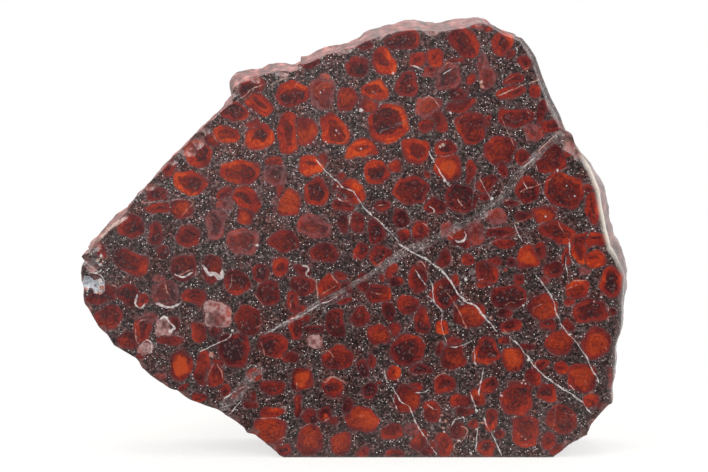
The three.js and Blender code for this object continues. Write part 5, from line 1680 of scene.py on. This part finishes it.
    def _column(self, cell: list[Value], tone: list[Value], laminae: Value) -> Value:
        """Colours a column: ring, core, growth lines and dust.

        Args:
            cell: Distance outside the column, distance outside the core and growth-line place, in mm.
            tone: Tones of the ring and the core and strength of dust.
            laminae: Strength of the growth lines.

        Returns:
            The colour.
        """
        mottle, blotch = self._sway(self.FINE, 3.0), self._sway(self.BLOTCH)
        along = self.node("Math MULTIPLY", cell[1], math.tau / self.RING_GROWTH)
        rings = self.node("Math SINE", self._sum(along, (mottle, self.RING_WAVER)))
        rings = self.node("Math MULTIPLY", rings, self._patches(*self.LINE_PATCHES))
        along = self.node("Math MULTIPLY", cell[2], math.tau / self.GROWTH)
        lines = self.node("Math SINE", self._sum(along, (mottle, self.WAVER)))
        lines = self.node("Math MULTIPLY", lines, laminae)
        hem = self._within(self.node("Math SUBTRACT", cell[1], 0.3), soft=0.4)
        ring = self._sum(tone[0], *zip((mottle, blotch, rings, lines, hem), self.RING_TONES))
        ring = self.node("ValToRGB", ring, stops=self.RING)
        # Parts of the ring's outer half millimetre are a dull rind.
        outer = self._within(self._sum(-0.55, (cell[0], -1.0)), soft=0.55)
        rind = self.node("Math MULTIPLY", outer, self._patches(*self.RIND_PATCHES))
        ring = self.node("Mix", rind, ring, linear(self.RIND), data_type="RGBA")
        core = self._sum(tone[1], *zip((mottle, blotch, rings, lines), self.CORE_TONES))
        core = self._speckled(tone[1], self.node("ValToRGB", core, stops=self.CORE))
        middle = self._within(cell[1], self.CORE_RAG, soft=0.45)
        colour = self.node("Mix", middle, ring, core, data_type="RGBA")
        powder = self.node("Math MULTIPLY", tone[2], self._patches(*self.DUST_PATCHES))
        powder = self.node("Math MULTIPLY", powder, self._sum(1.0, (middle, -0.7)))
        powder = self.node("Math MINIMUM", powder, self.DUST_COVER)
        dust = self.node("ValToRGB", tone[2], stops=self.DUST)
        return self.node("Mix", powder, colour, dust, data_type="RGBA")

    def _speckled(self, tone: Value, colour: Value) -> Value:
        """Adds slate and pink specks to dark cores.

        Args:
            tone: Tone of the core.
            colour: The colour so far.

        Returns:
            The colour.
        """
        specks = self.node("TexVoronoi", self.place, 1 / self.SPECK).outputs["Color"]
        chance, kind, _ = self.node("SeparateColor", specks).outputs
        there = self.node("Math GREATER_THAN", chance, 0.78)
        dark = self.node("MapRange", tone, *self.SPECKLED)
        share = self.node("Math MULTIPLY", there, dark)
        speck = self.node("ValToRGB", kind, stops=self.SPECKS)
        return self.node("Mix", share, colour, speck, data_type="RGBA")

    def _grey_band(self, colour: Value) -> Value:
        """Adds the grey band, whose fibres run along it.

        Args:
            colour: The colour so far.

        Returns:
            The colour.
        """
        across, half, _ = self._field("band")
        outside = self.node("Math SUBTRACT", self.node("Math ABSOLUTE", across), half)
        wander = self.node("Math MULTIPLY", self.node("TexNoise", self.place, 1 / 2.5), 7.0)
        fibres = self.node("Math SINE", self._sum(wander, (across, math.tau / self.FIBRE)))
        share = self._sum(self._patches(*self.BAND_PATCHES), (fibres, 0.16))
        share = self.node("Math MULTIPLY", share, self._within(outside, self.BAND_RAG, soft=0.35))
        pale = self.node("ValToRGB", self.node("TexNoise", self.place, 1 / 0.7), stops=self.BAND)
        return self.node("Mix", share, colour, pale, data_type="RGBA")

    def _veined(self, number: int, colour: Value) -> Value:
        """Adds one set of veins.

        Args:
            number: The set's number.
            colour: The colour so far.

        Returns:
            The colour.
        """
        across, half, tint = self._field(f"vein_{number}")
        outside = self.node("Math SUBTRACT", self.node("Math ABSOLUTE", across), half)
        outside = self.node("Math ADD", outside, 0.03)
        filling = self.node("ValToRGB", tint, stops=self.VEIN)
        cover = self._within(outside, *self.VEIN_RAGS, soft=0.1)
        cover = self.node("Math MULTIPLY", cover, filling.outputs["Alpha"])
        cover = self.node("Math MULTIPLY", cover, self._patches(*self.VEIN_PATCHES))
        return self.node("Mix", cover, colour, filling, data_type="RGBA")

    def _grained(self, grain: list[Value], colour: Value) -> Value:
        """Adds the larger quartz grains.

        Args:
            grain: Distance outside a grain in mm, and its tint.
            colour: The colour so far.

        Returns:
            The colour.
        """
        filling = self.node("ValToRGB", grain[1], stops=self.VEIN)
        cover = self._within(self.node("Math ADD", grain[0], 0.15), self.GRAIN_RAG, soft=0.14)
        cover = self.node("Math MULTIPLY", cover, filling.outputs["Alpha"])
        cover = self.node("Math MULTIPLY", cover, self._patches(*self.GRAIN_PATCHES))
        return self.node("Mix", cover, colour, filling, data_type="RGBA")

    def _broken(self, frost: Value, colour: Value) -> Value:
        """Whitens crushed and broken stone.

        Args:
            frost: How crushed it is, 0 to 1.
            colour: The colour so far.

        Returns:
            The colour.
        """
        share = self.node("Math MULTIPLY", frost, self._patches(*self.CRUSHED_PATCHES))
        share = self.node("Math MINIMUM", share, self.CRUSHED_COVER)
        streaks = self.node("VectorMath MULTIPLY", self.place, self.STREAK)
        noise = self.node("TexNoise", streaks, 1 / self.STREAK_WIDTH, 5.0)
        pale = self.node("ValToRGB", noise, stops=self.CRUSHED)
        return self.node("Mix", share, colour, pale, data_type="RGBA")

    def _roughness(self, surface: list[Value]) -> Value:
        """Works out the roughness: sharp on the polish, dull where it is worn, rough where it is broken.

        Args:
            surface: How crushed and how worn the surface is, 0 to 1.

        Returns:
            The roughness.
        """
        smear = self._sum(self.POLISH, (self._sway(self.SMEAR_WIDTH), self.SMEAR))
        worn = self._sum(smear, (surface[1], self.DULL - self.POLISH))
        broken = self.node("Math MULTIPLY", surface[0], self.BROKEN)
        return self._sum(broken, (worn, self.node("Math SUBTRACT", 1.0, surface[0])))


@dataclass(frozen=True)
class Softbox:
    """A soft studio light: where it stands, as seen from the slab's face, its size and its power."""

    name: str
    azimuth: float         # degrees to the right of straight in front
    elevation: float       # degrees
    distance: float        # m
    width: float           # m
    height: float          # m
    watts: float


@dataclass(frozen=True)
class Studio:
    """A white sheet, softboxes and a white room that is dark only straight in front, round the camera.

    Each span of the room goes from one Y of the direction, or one height above its slope, to another, and
    gives the light at both.
    """

    target: float = 0.06303        # m, height that the camera and lights are aimed at
    front: float = 0.0125          # m from the slab's middle plane to the polished face
    distance: float = 0.85         # m from the face to the camera
    elevation: float = 9.4         # degrees, of the camera
    lens: float = 156.1            # mm
    sensor: float = 36.0           # mm
    sheet_reach: float = 0.4       # m that the white sheet goes on each side
    sheet_clear: tuple[float, float] = (0.06, 0.17)    # m from the slab over which it fades into the room
    sheet_cover: float = 0.32      # how well it covers where it is close to the slab
    reach_slope: float = 1.1       # m that the sheet reaches further in front, for each m to the right
    reach: tuple[float, float] = (0.03, 0.075)         # m that it reaches in front: least, and in the middle
    sides: tuple[float, ...] = (-0.93, -0.45, 0.03, 0.6)
    behind: tuple[float, ...] = (-0.45, 0.3, 0.0, 0.45)
    right: float = 0.12            # how much lighter the room is at the right
    darkest: float = 0.02
    glow: tuple[float, ...] = (-0.19, -0.1, 0.0, 0.33)         # the pale part that the upper left mirrors
    glow_slope: float = -0.9
    glow_front: tuple[float, ...] = (-0.93, -0.75, 1.0, 0.0)
    paper: str = "d4d0ca"
    white: str = "ffffff"
    softboxes: tuple[Softbox, ...] = (
        Softbox("softbox_left", -46, 36, 0.8, 0.5, 0.5, 5.7),
        Softbox("softbox_right", 48, 34, 0.8, 0.7, 0.7, 5.3),
        Softbox("softbox_top", 180, 80, 0.9, 0.9, 0.9, 6.5),
        Softbox("softbox_side", 84, 20, 0.8, 0.35, 0.7, 0.7),
    )

    def place(self) -> None:
        """Places everything."""
        self._sheet()
        for softbox in self.softboxes:
            data = bpy.data.lights.new(softbox.name, "AREA")
            data.shape = "RECTANGLE"
            data.size = softbox.width
            data.size_y = softbox.height
            data.energy = softbox.watts
            light = self._aimed(data, 0.0, softbox.azimuth, softbox.elevation, softbox.distance)
            light.visible_camera = False
        self._room()
        data = bpy.data.cameras.new("camera")
        data.lens = self.lens
        data.sensor_width = self.sensor
        camera = self._aimed(data, -MIDDLE_X * MM, 0.0, self.elevation, self.distance)
        bpy.context.scene.camera = camera

    def _aimed(
        self, data: bpy.types.ID, x: float, azimuth: float, elevation: float, distance: float,
    ) -> bpy.types.Object:
        """Places a light or the camera and aims it at the middle of the face.

        Args:
            data: The light or the camera.
            x: How far to the right it stands and aims, in m.
            azimuth: Degrees to the right of straight in front.
            elevation: Degrees above the horizon.
            distance: Distance from the middle of the face, in m.

        Returns:
            Its object.
        """
        turn, rise = math.radians(azimuth), math.radians(elevation)
        way = Vector((math.sin(turn) * math.cos(rise), -math.cos(turn) * math.cos(rise), math.sin(rise)))
        placed = bpy.data.objects.new(data.name, data)
        placed.location = Vector((x, -self.front, self.target)) + way * distance
        placed.rotation_euler = (-way).to_track_quat("-Z", "Y").to_euler()
        bpy.context.scene.collection.objects.link(placed)
        return placed

    def _sheet(self) -> None:
        """Lays the sheet of matt white paper, which has no gloss and is thin as tissue away from the slab."""
        material = bpy.data.materials.new("matt_white_paper")
        material.use_nodes = True
        material.node_tree.nodes.clear()
        node = partial(add, material.node_tree)
        place = node("TexCoord").outputs["Object"]
        x, y, _ = node("SeparateXYZ", place).outputs
        away = node("VectorMath LENGTH", place)
        smooth = {"interpolation_type": "SMOOTHSTEP"}
        cover = node("MapRange", away, *self.sheet_clear, self.sheet_cover, 0.0, **smooth)
        # In front it thins out sooner, most of all at the left, so that the polish shows it only low down.
        least, middle = self.reach
        reach = node("Math MAXIMUM", node("Math MULTIPLY_ADD", x, self.reach_slope, middle), least)
        ahead = node("Math DIVIDE", node("Math MULTIPLY_ADD", y, -1.0, -self.front), reach)
        cover = node("Math MULTIPLY", cover, node("MapRange", ahead, 0.0, 1.0, 1.0, 0.0, **smooth))
        paper = node("BsdfPrincipled", linear(self.paper), Roughness=0.9, Specular_IOR_Level=0.1)
        node("OutputMaterial", node("MixShader", cover, node("BsdfTransparent"), paper))
        reach = self.sheet_reach
        mesh = bpy.data.meshes.new("paper_sheet")
        corners = [(-reach, -reach, 0), (reach, -reach, 0), (reach, reach, 0), (-reach, reach, 0)]
        mesh.from_pydata(corners, [], [(0, 1, 2, 3)])
        mesh.materials.append(material)
        sheet = bpy.data.objects.new("paper_sheet", mesh)
        bpy.context.scene.collection.objects.link(sheet)

    def _room(self) -> None:
        """Makes the white room: white to the camera, and dark straight in front for light and reflections."""
        world = bpy.data.worlds.new("white_room")
        bpy.context.scene.world = world
        world.use_nodes = True
        world.node_tree.nodes.clear()
        node = partial(add, world.node_tree)
        x, y, z = node("SeparateXYZ", node("TexCoord").outputs["Generated"]).outputs
        smooth = {"interpolation_type": "SMOOTHSTEP"}
        sides = node("MapRange", y, *self.sides, **smooth)
        behind = node("MapRange", y, *self.behind, **smooth)
        light = node("Math MULTIPLY_ADD", x, self.right, node("Math ADD", sides, behind))
        glow = node("MapRange", node("Math MULTIPLY_ADD", x, self.glow_slope, z), *self.glow, **smooth)
        light = node("Math MULTIPLY_ADD", glow, node("MapRange", y, *self.glow_front), light)
        light = node("Math MAXIMUM", light, self.darkest)
        lit = node("Background", linear(self.white), light)
        seen = node("Background", linear(self.white), 1.0)
        ray = node("LightPath").outputs["Is Camera Ray"]
        node("OutputWorld", node("MixShader", ray, lit, seen))


def main() -> None:
    """Builds the slab and its studio."""
    logging.basicConfig(level=logging.INFO, format="%(name)s: %(message)s")
    noise = StoneNoise(5)
    slab = StromatoliteSlab(SlabSize(), Edge(STRETCHES, noise), noise).create("stromatolite", Figure(noise))
    slab.data.materials.append(PolishedJasper("polished_jasper_and_chert").material)
    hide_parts("stromatolite_slab")
    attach(slab, "root")
    log.info("stromatolite: %d points, %d faces", len(slab.data.vertices), len(slab.data.polygons))
    Studio().place()
    log.info("studio: sheet, softboxes and camera")
    bpy.context.scene.view_settings.view_transform = "Standard"


if __name__ == "__main__":
    main()
